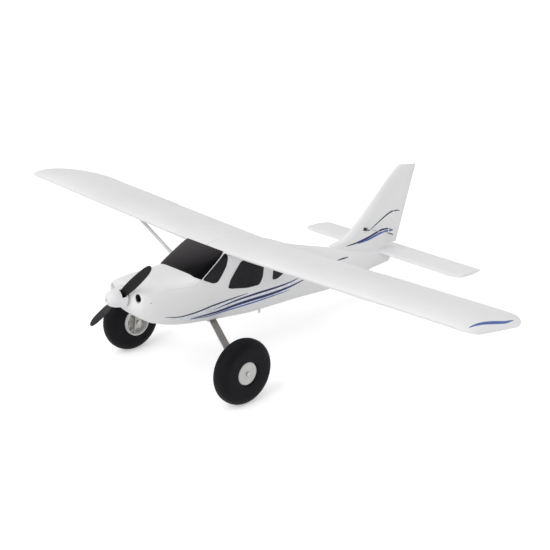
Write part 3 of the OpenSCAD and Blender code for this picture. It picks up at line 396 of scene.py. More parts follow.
def metal_material(name, colour, roughness, grain=600):
    metal = Surface(name, colour, roughness, Metallic=1.0)
    brushed = metal.texture("ShaderNodeTexNoise", grain, Detail=4)
    clouds = metal.texture("ShaderNodeTexNoise", 30, Detail=3)
    low = tuple(c * 0.85 for c in colour)
    high = tuple(min(1, c * 1.1) for c in colour)
    metal.colour(clouds.outputs["Fac"], low, high)
    metal.roughness(brushed.outputs["Fac"], roughness - 0.08, roughness + 0.12)
    metal.bump(brushed.outputs["Fac"], 0.02, 0.3)
    return metal.material


def tyre_material():
    tyre = Surface("tyre_rubber", (0.01, 0.01, 0.012), 0.6, Specular_IOR_Level=0.1)
    cells = tyre.texture("ShaderNodeTexNoise", 700, Detail=3)
    clouds = tyre.texture("ShaderNodeTexNoise", 25, Detail=3)
    tyre.colour(clouds.outputs["Fac"], (0.005, 0.005, 0.0065), (0.009, 0.009, 0.011))
    tyre.roughness(clouds.outputs["Fac"], 0.5, 0.66)
    tyre.bump(cells.outputs["Fac"], 0.12, 0.5)
    return tyre.material


def plywood_material():
    wood = Surface("plywood", (0.62, 0.45, 0.27), 0.65)
    grain = wood.texture("ShaderNodeTexWave", 60, Distortion=6, Detail=3)
    wood.colour(grain.outputs["Fac"], (0.52, 0.36, 0.2), (0.68, 0.51, 0.32), 0.2, 0.8)
    wood.bump(grain.outputs["Fac"], 0.05, 0.3)
    return wood.material


def strap_material():
    strap = Surface("woven_strap", (0.02, 0.02, 0.022), 0.9)
    weave = strap.texture("ShaderNodeTexChecker", 1200)
    strap.colour(weave.outputs["Fac"], (0.016, 0.016, 0.018), (0.035, 0.035, 0.038), 0.2, 0.8)
    strap.bump(weave.outputs["Fac"], 0.1, 0.5)
    return strap.material


FOAM = foam_material()
FILM = film_material()
WINDSHIELD_PAINTED_REFLECTION = windshield_painted_reflection_material()
TYRE = tyre_material()
MATERIALS = {
    "foam": FOAM,
    "pane": FILM,
    "tyre": TYRE,
    "plywood": plywood_material(),
    "strap": strap_material(),
    "motor": metal_material("motor_metal", (0.35, 0.36, 0.38), 0.35),
    "steel": metal_material("plated_steel", (0.5, 0.5, 0.51), 0.3),
    "gear": metal_material("gear_strip", (0.43, 0.41, 0.38), 0.45),
    "prop": plastic_material("propeller_nylon", (0.01, 0.01, 0.011), 0.45, shine=0.12),
    "spinner": plastic_material("spinner_plastic", (0.82, 0.82, 0.83), 0.32, spread=0.02),
    "battery": plastic_material("battery_wrap", (0.03, 0.07, 0.25), 0.35),
    "electronics": plastic_material("electronics_case", (0.025, 0.025, 0.028), 0.5),
    "carbon": plastic_material("carbon_tube", (0.02, 0.02, 0.022), 0.3),
    "nylon": plastic_material("white_nylon", (0.75, 0.75, 0.73), 0.5, spread=0.04),
    "strut": plastic_material("strut_plastic", (0.75, 0.74, 0.72), 0.5, spread=0.05),
    "fitting": plastic_material("black_nylon", (0.03, 0.03, 0.033), 0.5),
    "hub": plastic_material("hub_plastic", (0.62, 0.62, 0.61), 0.5, spread=0.06),
    "servo": plastic_material("servo_case", (0.03, 0.08, 0.3), 0.35),
}
DARK_INK = ink_material("dark_ink", (0.022, 0.026, 0.055))
NAVY_INK = ink_material("navy_ink", (0.014, 0.02, 0.1))
BLUE_INK = ink_material("blue_ink", (0.075, 0.14, 0.4))
PALE_INK = ink_material("pale_ink", (0.8, 0.82, 0.88))

# Fuselage: rows of place, half width, top, widest height, bottom, squareness above and below.
# Each group of rows is one smooth stretch; the stretches meet in creases.

SEAM = (-228, 54, 1, -30, -82, 3.3, 3)
SCREEN_FOOT = (-157, 58, 5, -32, -95, 6, 3)
SCREEN_TOP = (-95, 58, 44, -34, -97, 20, 3)
NOSE = (
    (-274, 42, -11, -29, -46, 3.2, 2.6), (-271, 47, -8, -29, -52, 3.2, 2.7),
    (-265, 50, -5, -29, -59, 2.9, 2.8), (-250, 53, -3, -29, -70, 3.1, 2.9), SEAM,
)
HOOD = (SEAM, (-190, 57, 3, -31, -91, 3.7, 3), SCREEN_FOOT)
SCREEN = (SCREEN_FOOT, SCREEN_TOP)
CABIN = (
    SCREEN_TOP, (-20, 58, 40, -34, -97, 12, 3), (72, 53, 34, -33, -92, 5, 3),
    (130, 45, 19, -34, -90, 3, 2.8), (215, 33, 4, -35, -89, 2.6, 2.6), (300, 25, -10, -37, -76, 2.5, 2.5),
    (365, 16, -18, -38, -61, 2.4, 2.4), (426, 8, -22, -37, -51, 2.4, 2.4),
)
BODY = (HOOD, SCREEN, CABIN)
ROOF_Z = 44
BODY_STEP = 5
RING_STEPS = 128
FOAM_WALL = 8
HOLLOW_END = 300
ROOF_UNDER = 23
COWL_WALL = 4
FAR = 200
LONG = 500
SPLIT_GAP = 0.1


def row_at(stretches, y):
    rows = next((s for s in stretches if y <= s[-1][0]), stretches[-1])
    places = [row[0] for row in rows]
    return [y] + [curve_at(places, [row[k] for row in rows], y) for k in range(1, 7)]


def ring_at(stretches, y, grow):
    """Cross-section of the fuselage at a place, grown outwards."""
    _, half, top, middle, low, upper_power, lower_power = row_at(stretches, y)
    points = []
    for i in range(RING_STEPS):
        angle = 2 * math.pi * i / RING_STEPS
        c, s = math.cos(angle), math.sin(angle)
        rise = top - middle if s >= 0 else middle - low
        power = upper_power if s >= 0 else lower_power
        reach = (abs(c / (half + grow)) ** power + abs(s / (rise + grow)) ** power) ** (-1 / power)
        points.append((reach * c, y, middle + reach * s))
    return points


def places_between(stretches, start, end, step=BODY_STEP):
    edges = sorted({start, end} | {s[-1][0] for s in stretches if start < s[-1][0] < end})
    places = [start]
    for a, b in zip(edges, edges[1:]):
        count = max(1, round((b - a) / step))
        places += [a + (b - a) * (i + 1) / count for i in range(count)]
    return places


def body_loft(name, grow, start, end, stretches=BODY, step=BODY_STEP):
    return loft(name, [ring_at(stretches, y, grow) for y in places_between(stretches, start, end, step)])


def side_x_of(stretches, y, z):
    """Half width of the fuselage at a place and height."""
    _, half, top, middle, low, upper_power, lower_power = row_at(stretches, y)
    rise, power = (top - middle, upper_power) if z >= middle else (middle - low, lower_power)
    share = min(1, abs(z - middle) / rise)
    return half * (1 - share ** power) ** (1 / power)


def side_x(y, z):
    return side_x_of(BODY, y, z)


# Hatch and windows, outlined as seen from the side

HATCH_Z = -12
HATCH_FRONT = SEAM[0] + 3
HATCH_BACK = SCREEN_TOP[0] + 35
HATCH_GAP = 0.25
PILLAR_FOOT = Vector((-147, -1))
PILLAR_TOP = Vector((SCREEN_TOP[0], ROOF_Z))
SCREEN_FOOT_GAP = 1.2
SCREEN_TOP_GAP = 0.6
SCREEN_LAP = 1.5
SCREEN_DROP = 2
ABOVE = ROOF_Z + 40
PANE_LIFT = 0.05
PANE_FACE = 0.7
PANE_START = -190
PANE_END = 130
PANE_MARGIN = 10
PANE_STEP = 4
PANE_INNER = 30

# Each window: its corners, and the radius that rounds them
WINDOWS = {
    "quarter": (
        ((-145.5, -2), (-120, -12), (-109, -11), (-99, 3), (-90.5, 19), (-88.5, 35), (-94.5, 42.5)),
        5,
    ),
    "door": (
        ((-82, -26), (-79, -12), (-55, 23), (4, 19), (3.5, -16), (-4, -30), (-34, -32), (-75, -28)),
        6,
    ),
    "rear": (
        ((31, -26), (46, -25), (80, -7), (82, 8), (31, 17)),
        5,
    ),
}


def hatch_outline(inset):
    slope = (PILLAR_TOP.x - PILLAR_FOOT.x) / (PILLAR_TOP.y - PILLAR_FOOT.y)
    back = PILLAR_FOOT.x + (HATCH_Z - PILLAR_FOOT.y) * slope
    return [
        (HATCH_FRONT + inset, HATCH_Z + inset),
        (back - 2 * inset, HATCH_Z + inset),
        (PILLAR_TOP.x - 2 * inset, ROOF_Z),
        (PILLAR_TOP.x - 2 * inset, ABOVE),
        (HATCH_FRONT + inset, ABOVE),
    ]


def inner_space():
    """The hollow of the fuselage, under the roof that carries the wing."""
    space = body_loft("space", -FOAM_WALL, SEAM[0] - 1, HOLLOW_END)
    return carve(space, "DIFFERENCE", block("roof", (-FAR, SCREEN_TOP[0], ROOF_UNDER), (FAR, LONG, FAR)))


# Wing section, and the seat that it needs in the fuselage

WING_CHORD = 171
WING_THICK = 22
WING_CAMBER = 4
CAMBER_PLACE = 0.4
EDGE_HALF = 0.6
FOIL_STEPS = 36
FLAP_EDGE = 163
SEAT_GAP = 0.1
SEAT_REACH = (-60, 120)


def half_thick(u):
    """Half thickness of a common wing section at a share of its chord."""
    shape = 0.2969 * math.sqrt(u) - 0.126 * u - 0.3516 * u ** 2 + 0.2843 * u ** 3 - 0.1015 * u ** 4
    return 5 * WING_THICK * shape + EDGE_HALF * u


def camber(u):
    if u < CAMBER_PLACE:
        return WING_CAMBER * (2 * CAMBER_PLACE * u - u * u) / CAMBER_PLACE ** 2
    return WING_CAMBER * (1 - 2 * CAMBER_PLACE + 2 * CAMBER_PLACE * u - u * u) / (1 - CAMBER_PLACE) ** 2


def spread(i, steps):
    return (1 - math.cos(math.pi * i / steps)) / 2


def upper(u):
    return WING_CHORD * u, camber(u) + half_thick(u)


def lower(u):
    return WING_CHORD * u, camber(u) - half_thick(u)


def wing_seat(side):
    under = [lower(spread(i, FOIL_STEPS)) for i in range(FOIL_STEPS + 1)]
    under = [(y, z - SEAT_GAP) for y, z in under if y < FLAP_EDGE]
    rear = lower(FLAP_EDGE / WING_CHORD)
    outline = under + [(rear[0], rear[1] - SEAT_GAP), (rear[0], FAR), (0, FAR)]
    return prism("seat", outline, *SEAT_REACH, panel(side))


# Room for the servos and the landing gear

SERVO_POCKET = ((-22.7, -6.2), (-2.3, 17.2))
SERVO_HALF = 6.2
SERVO_HEIGHT = 20
ARM_SLOT = ((-2.5, -12, -WING_THICK), (4.2, 12, 4))
FIN_SLOT = ((-2.5, -7, -WING_THICK), (4.2, 7, 4))
GEAR_PLATE_Y = -92
GEAR_PLATE = (34.1, 7.6)
GEAR_TOP_Z = -93


def servo_pocket(matrix, low, high):
    """Room for a servo; X is its shaft, low and high its reach along Z."""
    near, far = SERVO_POCKET
    return block("pocket", (*near, low), (*far, high), matrix)


def fuselage():
    whole = carve(body_loft("fuselage", 0, SEAM[0], CABIN[-1][0]), "DIFFERENCE", inner_space())
    reach, width = GEAR_PLATE
    recess = ((-reach, GEAR_PLATE_Y - width, -FAR), (reach, GEAR_PLATE_Y + width, GEAR_TOP_Z))
    tail_servo = LEVEL @ mirrored(-1) @ LEVEL.inverted() @ STAB @ shift(ELEVATOR_SERVO)
    carve(
        whole, "DIFFERENCE",
        prism("hatch_cut", hatch_outline(0), -FAR, FAR),
        stabilizer_solid("stab_cut"),
        block("gear_cut", *recess),
        servo_pocket(tail_servo, -SERVO_HALF, SERVO_HALF),
        servo_pocket(tail_servo @ shift((SERVO_HEIGHT, 0, 0)), -SERVO_HALF, SERVO_HALF),
    )
    for name, side in SIDES.items():
        half = copy_of(whole, f"fuselage_{name}_foam")
        keep = block("half", (SPLIT_GAP, -LONG, -FAR), (FAR, LONG, FAR), LEVEL @ mirrored(side))
        carve(half, "INTERSECT", keep)
        carve(half, "DIFFERENCE", wing_seat(side))
        smooth(half)
        present(half, "airframe", FOAM, "foam", f"fuselage_{name}")
    bpy.data.objects.remove(whole)


def hatch():
    hood = body_loft("hatch_foam", 0, SEAM[0], HATCH_BACK)
    carve(hood, "INTERSECT", prism("hatch_keep", hatch_outline(HATCH_GAP), -FAR, FAR))
    carve(hood, "DIFFERENCE", inner_space())
    smooth(hood)
    present(hood, "hatch", FOAM, "foam", "hatch")


def pane(name, outline, start, end):
    """A film on the fuselage, cut to an outline between two places across."""
    skin = body_loft(name, PANE_FACE, PANE_START, PANE_END, step=PANE_STEP)
    carve(skin, "INTERSECT", prism("outline", outline, start, end))
    under = body_loft("under", PANE_LIFT, PANE_START - PANE_MARGIN, PANE_END + PANE_MARGIN, step=PANE_STEP)
    carve(skin, "DIFFERENCE", under)
    return smooth(skin)


def windows():
    foot = PILLAR_FOOT - Vector((SCREEN_FOOT_GAP, 0))
    top = PILLAR_TOP - Vector((SCREEN_TOP_GAP, 0))
    base = SCREEN_FOOT[0] - SCREEN_LAP
    outline = [tuple(foot), tuple(top), (top.x, ABOVE), (base, ABOVE), (base, SCREEN_FOOT[2] - SCREEN_DROP)]
    screen = pane("windshield_film", outline, -FAR, FAR)
    present(screen, "hatch", WINDSHIELD_PAINTED_REFLECTION, "pane", "windshield")
    for side_name, side in SIDES.items():
        for window, (outline, radius) in WINDOWS.items():
            film = pane(f"{window}_film_{side_name}", rounded(outline, radius), PANE_INNER * side, FAR * side)
            present(film, "airframe", FILM, "pane", "side_windows")


# Nose

INTAKE = Vector((39.5, 0, -24))
INTAKE_RADIUS = 7.5
INTAKE_RISE = 1
INTAKE_SLANT = math.radians(32)
INTAKE_INWARD = 1.1
INTAKE_AHEAD = 6
INTAKE_DEEP = 12
COWL_STEP = 1.5
COWL_FACE = 6
COWL_SPACE_STEP = 4
COWL_HOLE = 13
COWL_HOLE_STEPS = 64
COWL_SCREW = (-255, -31)
SCREW_PROFILE = ((0.4, -2), (1.5, -2), (1.5, 0.1), (1.1, 0.4), (0.6, 0.4), (0.4, -0.3))
SCREW_STEPS = 24


def stadium(radius, rise, steps=16):
    """Round-ended upright slot as (x, z) points."""
    points = []
    for sign in (1, -1):
        for i in range(steps + 1):
            angle = math.pi * i / steps
            points.append((sign * radius * math.cos(angle), sign * (rise + radius * math.sin(angle))))
    return points


def intake(side):
    """Cutter of an air intake, which leans and runs inwards as it goes aft."""
    c, s = math.cos(INTAKE_SLANT), math.sin(INTAKE_SLANT)
    rings = []
    for depth in (-INTAKE_AHEAD, INTAKE_DEEP):
        middle = INTAKE.x - INTAKE_INWARD * depth
        y = NOSE[0][0] + depth
        ring = stadium(INTAKE_RADIUS, INTAKE_RISE)
        rings.append([(side * (middle + x * c - z * s), y, INTAKE.z + x * s + z * c) for x, z in ring])
    return loft("slot", rings)


def cowl_screw(name, side):
    place = (side_x_of((NOSE,), *COWL_SCREW), *COWL_SCREW)
    way = LEVEL @ mirrored(side) @ shift(place) @ turn(math.pi / 2, "Y")
    head = smooth(lathe(f"cowl_screw_{name}", SCREW_PROFILE, way, SCREW_STEPS))
    present(head, "airframe", MATERIALS["steel"], "foam")


def cowl():
    bowl = body_loft("cowl_foam", 0, NOSE[0][0], SEAM[0], (NOSE,), COWL_STEP)
    places = places_between((NOSE,), NOSE[0][0] + COWL_FACE, SEAM[0], COWL_SPACE_STEP)
    hollow = [ring_at((NOSE,), y, -COWL_WALL) for y in places]
    hollow.append([(x, y + 1, z) for x, y, z in hollow[-1]])
    hole = rod("hole", COWL_HOLE, -FAR, FAR, SHAFT, COWL_HOLE_STEPS)
    carve(bowl, "DIFFERENCE", loft("space", hollow), hole, *[intake(side) for side in SIDES.values()])
    smooth(bowl)
    present(bowl, "airframe", FOAM, "foam", "cowl")
    for name, side in SIDES.items():
        cowl_screw(name, side)


# Propeller and spinner

PROP_RADIUS = 120
PROP_ANGLE = math.radians(41.5)
PROP_BORE = 2.55
BLADE_CHORD = 18
BLADE_ROOT = 6
BLADE_ROOT_SHARE = 0.75
BLADE_WIDEST = 0.45
BLADE_TAPER = 0.25
BLADE_TAPER_POWER = 1.6
BLADE_TIP = 0.97
BLADE_TIP_POWER = 12
BLADE_THICK = (0.18, 0.1)
BLADE_PITCH = 127
BLADE_STEEPEST = math.radians(35)
BLADE_POINTS = 28
BLADE_RINGS = 30
HUB_HALF = 4.5
HUB_RADIUS = 9
HUB_STEPS = 48
BACK_PLATE = 2
SPINNER_RADIUS = 18
SPINNER_FULL = 2.3
SPINNER_LEN = 35
SPINNER_STEPS = 24
SPINNER_WALL = 1.5
SPINNER_ROOF = 2
SPINNER_CORE = 5
SPINNER_HOLE = 2.6
SPINNER_HOLE_EDGE = 0.2
SPINNER_DIP = 0.4
SPINNER_SCREW = 1.6
SPINNER_SLOT = 8
SPINNER_SLOT_ROOM = 1


def blade_ring(t):
    """Section of a blade at a share of its length, from root to tip."""
    r = BLADE_ROOT + t * (PROP_RADIUS - BLADE_ROOT)
    pitch = min(BLADE_STEEPEST, math.atan(BLADE_PITCH / (2 * math.pi * r)))
    width = BLADE_CHORD * blend(BLADE_ROOT_SHARE, 1, math.sin(math.pi / 2 * min(1, t / BLADE_WIDEST)))
    width *= 1 - BLADE_TAPER * max(0, (t - BLADE_WIDEST) / (1 - BLADE_WIDEST)) ** BLADE_TAPER_POWER
    width *= math.sqrt(1 - BLADE_TIP * t ** BLADE_TIP_POWER)
    thick = width * blend(*BLADE_THICK, t)
    ring = []
    for i in range(BLADE_POINTS):
        angle = -2 * math.pi * i / BLADE_POINTS
        along, across = width / 2 * math.cos(angle), thick / 2 * math.sin(angle)
        ring.append((
            r,
            along * math.cos(pitch) - across * math.sin(pitch),
            along * math.sin(pitch) + across * math.cos(pitch),
        ))
    return ring


def propeller():
    spun = SHAFT @ turn(PROP_ANGLE, "Z")
    prop = rod("propeller_blades", HUB_RADIUS, -HUB_HALF, HUB_HALF, spun, HUB_STEPS)
    rings = [blade_ring(math.sin(math.pi / 2 * i / BLADE_RINGS)) for i in range(BLADE_RINGS + 1)]
    blades = [loft("blade", rings, spun @ turn(math.radians(half), "Z")) for half in (0, 180)]
    carve(prop, "UNION", *blades)
    carve(prop, "DIFFERENCE", rod("bore", PROP_BORE, -FAR, FAR, spun))
    smooth(prop)
    present(prop, "rotor", MATERIALS["prop"], "prop", "propeller")


def spinner_outline():
    """Outside of the cone as (radius, height), from its rim to its point."""
    points = []
    for i in range(SPINNER_STEPS + 1):
        angle = math.pi / 2 * i / SPINNER_STEPS
        r = SPINNER_RADIUS * max(0, math.cos(angle)) ** (2 / SPINNER_FULL)
        points.append((r, SPINNER_LEN * math.sin(angle) ** (2 / SPINNER_FULL)))
    return points


def spinner():
    spun = SHAFT @ turn(PROP_ANGLE, "Z") @ shift((0, 0, -HUB_HALF - BACK_PLATE))
    outline = spinner_outline()
    seat = SPINNER_LEN - SPINNER_ROOF
    profile = [p for p in outline if p[0] > SPINNER_HOLE + SPINNER_HOLE_EDGE]
    profile += [(SPINNER_HOLE, SPINNER_LEN - SPINNER_DIP), (SPINNER_HOLE, seat)]
    profile += [(SPINNER_SCREW, seat), (SPINNER_SCREW, seat - SPINNER_ROOF)]
    for r, h in reversed(outline):
        if r > SPINNER_CORE and h > BACK_PLATE + SPINNER_ROOF:
            profile.append((r - SPINNER_WALL, h - SPINNER_ROOF))
    profile += [(profile[-1][0], BACK_PLATE), (SPINNER_HOLE, BACK_PLATE), (SPINNER_HOLE, 0)]
    cone = lathe("spinner_cone", profile, spun)
    slot_top = BACK_PLATE + 2 * HUB_HALF + SPINNER_SLOT_ROOM
    slot = block("slot", (-FAR, -SPINNER_SLOT, BACK_PLATE), (FAR, SPINNER_SLOT, slot_top), spun)
    carve(cone, "DIFFERENCE", slot)
    smooth(cone)
    present(cone, "rotor", MATERIALS["spinner"], "spinner", "spinner")


# Wing

SEMI_SPAN = 612.5
PANEL_LEN = SEMI_SPAN / math.cos(WING_DIHEDRAL)
TIP_FLOOR = lower(0.3)[1]
TIP_LEN = 64
TIP_AFT = 54
TIP_FORE = 22
TIP_FORE_LEN = 28
TIP_THIN_LEN = 40
TIP_THINNEST = 0.12
TIP_RINGS = 20
WING_ROOT = 0.7
ROOT_PAST = 20
BAY_HALF = 40
AILERON_CHORD = 42
HINGE_Y = WING_CHORD - AILERON_CHORD
HINGE_U = HINGE_Y / WING_CHORD
HINGE_Z = camber(HINGE_U)
HINGE_NOSE = half_thick(HINGE_U)
NOSE_GAP = 0.1
SURFACE_GAP = 0.5
SURFACE_STEPS = 12
SURFACE_EDGE = 0.5
FLAP_START = 66
SURFACE_SPLIT = 296
SPLIT_HALF_GAP = 0.25
AILERON_END = 508
LINK_PLACES = (190, 410)
WING_LINK = 60


def tip_sizes(distance):
    """Front edge, share of the chord and share of the thickness, at a distance from the tip."""
    front = TIP_FORE * round_off(distance, TIP_FORE_LEN)
    back = TIP_AFT * round_off(distance, TIP_LEN)
    thin = max(TIP_THINNEST, 1 - round_off(distance, TIP_THIN_LEN))
    return front, (WING_CHORD - front - back) / WING_CHORD, thin


def tip_ring(foil, distance):
    front, stretch, thin = tip_sizes(distance)
    reach = PANEL_LEN - distance
    return [(reach, front + y * stretch, TIP_FLOOR + (z - TIP_FLOOR) * thin) for y, z in foil]


def wing_top(x, y):
    """Height of the wing's skin near the tip, in the frame of its panel."""
    front, stretch, thin = tip_sizes(PANEL_LEN - x)
    z = upper((y - front) / stretch / WING_CHORD)[1]
    return TIP_FLOOR + (z - TIP_FLOOR) * thin


def arc(radius, start, end, steps=14):
    """Part of a circle round the hinge, as (aft, up) points."""
    points = []
    for i in range(steps + 1):
        angle = math.radians(blend(start, end, i / steps))
        points.append((HINGE_Y + radius * math.cos(angle), HINGE_Z + radius * math.sin(angle)))
    return points


def wing_cuts(side):
    """Cutters for the bay of flap and aileron, the step at the root, the servos and their arms."""
    cove = arc(HINGE_NOSE + SURFACE_GAP, 90, 180)
    behind = 2 * WING_CHORD
    bay = cove + [(cove[-1][0], -BAY_HALF), (behind, -BAY_HALF), (behind, BAY_HALF), (HINGE_Y, BAY_HALF)]
    cuts = [
        prism("bay", bay, FLAP_START - SURFACE_GAP, AILERON_END + SURFACE_GAP, panel(side)),
        block("step", (-ROOT_PAST, FLAP_EDGE, -BAY_HALF), (FLAP_START, behind, BAY_HALF), panel(side)),
    ]
    link_y = HINGE_Y - WING_LINK
    for x in LINK_PLACES:
        link = panel(side) @ shift((x, link_y, camber(link_y / WING_CHORD)))
        cuts += [servo_pocket(link, -WING_THICK, SERVO_HALF), block("slot", *ARM_SLOT, link)]
    return cuts


def wing_panel(name, side):
    foil = [lower(spread(i, FOIL_STEPS)) for i in range(FOIL_STEPS, -1, -1)]
    foil += [upper(spread(i, FOIL_STEPS)) for i in range(1, FOIL_STEPS + 1)]
    rings = [[(WING_ROOT, y, z) for y, z in foil]]
    rings += [tip_ring(foil, distance) for distance in end_places(TIP_LEN, TIP_RINGS)]
    wing = loft(f"wing_{name}_foam", rings, panel(side))
    carve(wing, "DIFFERENCE", *wing_cuts(side))
    smooth(wing)
    present(wing, "airframe", FOAM, "foam", f"wing_{name}")


def wing_surface(body, side, start, end, edge):
    """A flap or aileron, which is its own body."""
    shares = [blend(HINGE_U, edge / WING_CHORD, i / SURFACE_STEPS) for i in range(SURFACE_STEPS + 1)]
    outline = [lower(u) for u in reversed(shares)]
    outline += arc(HINGE_NOSE - NOSE_GAP, 270, 90)[1:-1]
    outline += [upper(u) for u in shares]
    flap = prism(f"{body}_foam", outline, start, end, panel(side))
    soften(flap, SURFACE_EDGE)
    present(flap, body, FOAM, "foam", body)


def wing():
    for name, side in SIDES.items():
        wing_panel(name, side)
        wing_surface(f"flap_{name}", side, FLAP_START, SURFACE_SPLIT - SPLIT_HALF_GAP, FLAP_EDGE)
        wing_surface(f"aileron_{name}", side, SURFACE_SPLIT + SPLIT_HALF_GAP, AILERON_END, WING_CHORD)


# Stabilizer and elevator

STAB_HALF = 222
STAB_SWEEP = 10
STAB_TIP = 13
STAB_TIP_THIN = 0.45
STAB_TIP_POWER = 6
STAB_RINGS = 12
STAB_NOSE = 14
STAB_THICK_HALF = 4
NOSE_STEPS = 12
COVE_ARC = (118, 242)
COVE_STEPS = 8
COVE_DEPTH = 0.99
COVE_LIP = 0.5
ELEVATOR_Y = 53.5
ELEVATOR_CHORD = 36
ELEVATOR_HALF = 221
ELEVATOR_CORNER = 5
ELEVATOR_RINGS = 10
ELEVATOR_SERVO = (23, ELEVATOR_Y - 85, -18)
TAIL_EDGE = 0.8
ROUND_STEPS = 16
SKIN_STEPS = 8


def stab_ring(x, h):
    """Section of the stabilizer at a place across, with half thickness h."""
    front = STAB_SWEEP * abs(x) / STAB_HALF + STAB_TIP * round_off(STAB_HALF - abs(x), 2 * STAB_TIP)
    nose = []
    for i in range(NOSE_STEPS + 1):
        angle = math.radians(-90 - 180 * i / NOSE_STEPS)
        nose.append((x, front + STAB_NOSE * (1 + math.cos(angle)), h * math.sin(angle)))
    gap = STAB_THICK_HALF + SURFACE_GAP
    depth = h * gap / STAB_THICK_HALF * COVE_DEPTH
    cove = []
    for i in range(COVE_STEPS + 1):
        angle = math.radians(blend(*COVE_ARC, i / COVE_STEPS))
        cove.append((x, ELEVATOR_Y + gap * math.cos(angle), depth * math.sin(angle)))
    return nose + [(x, cove[0][1] - COVE_LIP, h)] + cove + [(x, cove[-1][1] - COVE_LIP, -h)]


def stabilizer_solid(name):
    places = [STAB_HALF - distance for distance in end_places(2 * STAB_TIP, STAB_RINGS)]
    heights = []
    for i in range(STAB_RINGS + 1):
        heights.append(STAB_THICK_HALF * (1 - STAB_TIP_THIN * (i / STAB_RINGS) ** STAB_TIP_POWER))
    rings = [stab_ring(-x, h) for x, h in reversed(list(zip(places, heights)))]
    rings += [stab_ring(x, h) for x, h in zip(places, heights)]
    return loft(name, rings, STAB)


def stabilizer():
    stab = smooth(stabilizer_solid("stabilizer_foam"))
    present(stab, "airframe", FOAM, "foam", "stabilizer")


def elevator_ring(x):
    reach = ELEVATOR_CHORD - ELEVATOR_CORNER * round_off(ELEVATOR_HALF - abs(x), ELEVATOR_CORNER)
    nose = []
    for i in range(ROUND_STEPS + 1):
        angle = math.radians(270 - 180 * i / ROUND_STEPS)
        nose.append((x, STAB_THICK_HALF * math.cos(angle), STAB_THICK_HALF * math.sin(angle)))
    top = []
    for i in range(1, SKIN_STEPS + 1):
        t = i / SKIN_STEPS
        top.append((x, reach * t, blend(STAB_THICK_HALF, TAIL_EDGE, t)))
    return nose + top + [(x, y, -z) for x, y, z in reversed(top)]


def elevator():
    ends = [ELEVATOR_HALF - distance for distance in end_places(ELEVATOR_CORNER, ELEVATOR_RINGS)]
    rings = [elevator_ring(-x) for x in reversed(ends)] + [elevator_ring(x) for x in ends]
    flap = smooth(loft("elevator_foam", rings, STAB @ shift((0, ELEVATOR_Y, 0))))
    present(flap, "elevator", FOAM, "foam", "elevator")


# Fin and rudder; the front edge of the fin is (up, aft) points

FIN_EDGE = ((-24, 232), (3, 240), (11, 268), (34, 303), (98, 365), (157, 424), (160, 430))
FIN_FOOT_HALF = 9
FIN_TOP_HALF = 4.5
FIN_NOSE = 26
FIN_NOSE_SHARE = 0.6
FIN_GAP = 3.2
FIN_COVE = 3
FIN_TOP = 160
FIN_RINGS = 60
RUDDER_NOSE = 5
RUDDER_CHORD = 37
RUDDER_EDGE = 0.6
RUDDER_LINK = 79
RUDDER_LINK_RISE = 22


def hinge_y(z):
    return RUDDER_FOOT.y + (z - RUDDER_FOOT.z) * math.tan(RUDDER_LEAN)


def fin_sizes(z):
    """Front, back, half thickness, half thickness at the back, and nose length of the fin at a height."""
    front = curve_at([p[0] for p in FIN_EDGE], [p[1] for p in FIN_EDGE], z)
    back = hinge_y(z) - FIN_GAP
    half = blend(FIN_FOOT_HALF, FIN_TOP_HALF, (z - FIN_EDGE[0][0]) / (FIN_TOP - FIN_EDGE[0][0]))
    return front, back, half, min(half, RUDDER_NOSE), min(FIN_NOSE, FIN_NOSE_SHARE * (back - front))


def fin_ring(z):
    front, back, half, heel, nose = fin_sizes(z)
    left = []
    for i in range(1, NOSE_STEPS + 1):
        angle = math.radians(90 * i / NOSE_STEPS)
        left.append((half * math.sin(angle), front + nose * (1 - math.cos(angle)), z))
    right = [(-x, y, z) for x, y, z in reversed(left)]
    return [(0, front, z)] + left + [(heel, back, z), (0, back - FIN_COVE, z), (-heel, back, z)] + right


def fin():
    heights = [blend(FIN_EDGE[0][0], FIN_TOP, i / FIN_RINGS) for i in range(FIN_RINGS + 1)]
    blade = loft("fin_foam", [fin_ring(z) for z in heights])
    under = block("stab_space", (-FAR, 0, -FAR), (FAR, FAR, STAB_THICK_HALF), STAB)
    link = RUDDER @ shift((0, 0, RUDDER_LINK_RISE)) @ turn(-math.pi / 2, "Y") @ shift((0, -RUDDER_LINK, 0))
    pocket = servo_pocket(link, -SERVO_HALF, WING_THICK)
    carve(blade, "DIFFERENCE", under, pocket, block("slot", *FIN_SLOT, link))
    smooth(blade)
    present(blade, "airframe", FOAM, "foam", "fin")


def rudder():
    outline = []
    for i in range(ROUND_STEPS + 1):
        angle = math.radians(360 - 180 * i / ROUND_STEPS)
        outline.append((RUDDER_NOSE * math.cos(angle), RUDDER_NOSE * math.sin(angle)))
    outline += [(-TAIL_EDGE, RUDDER_CHORD), (TAIL_EDGE, RUDDER_CHORD)]
    blade = loft("rudder_foam", [[(x, y, z) for x, y in outline] for z in (-FAR, FAR)], RUDDER)
    keep = block("keep", (-FAR, -LONG, RUDDER_FOOT.z), (FAR, LONG, FIN_TOP))
    carve(blade, "INTERSECT", keep)
    soften(blade, RUDDER_EDGE)
    present(blade, "rudder", FOAM, "foam", "rudder")


# Painted stripes: name, full width, ink, and middle line as (aft, up) points seen from the side

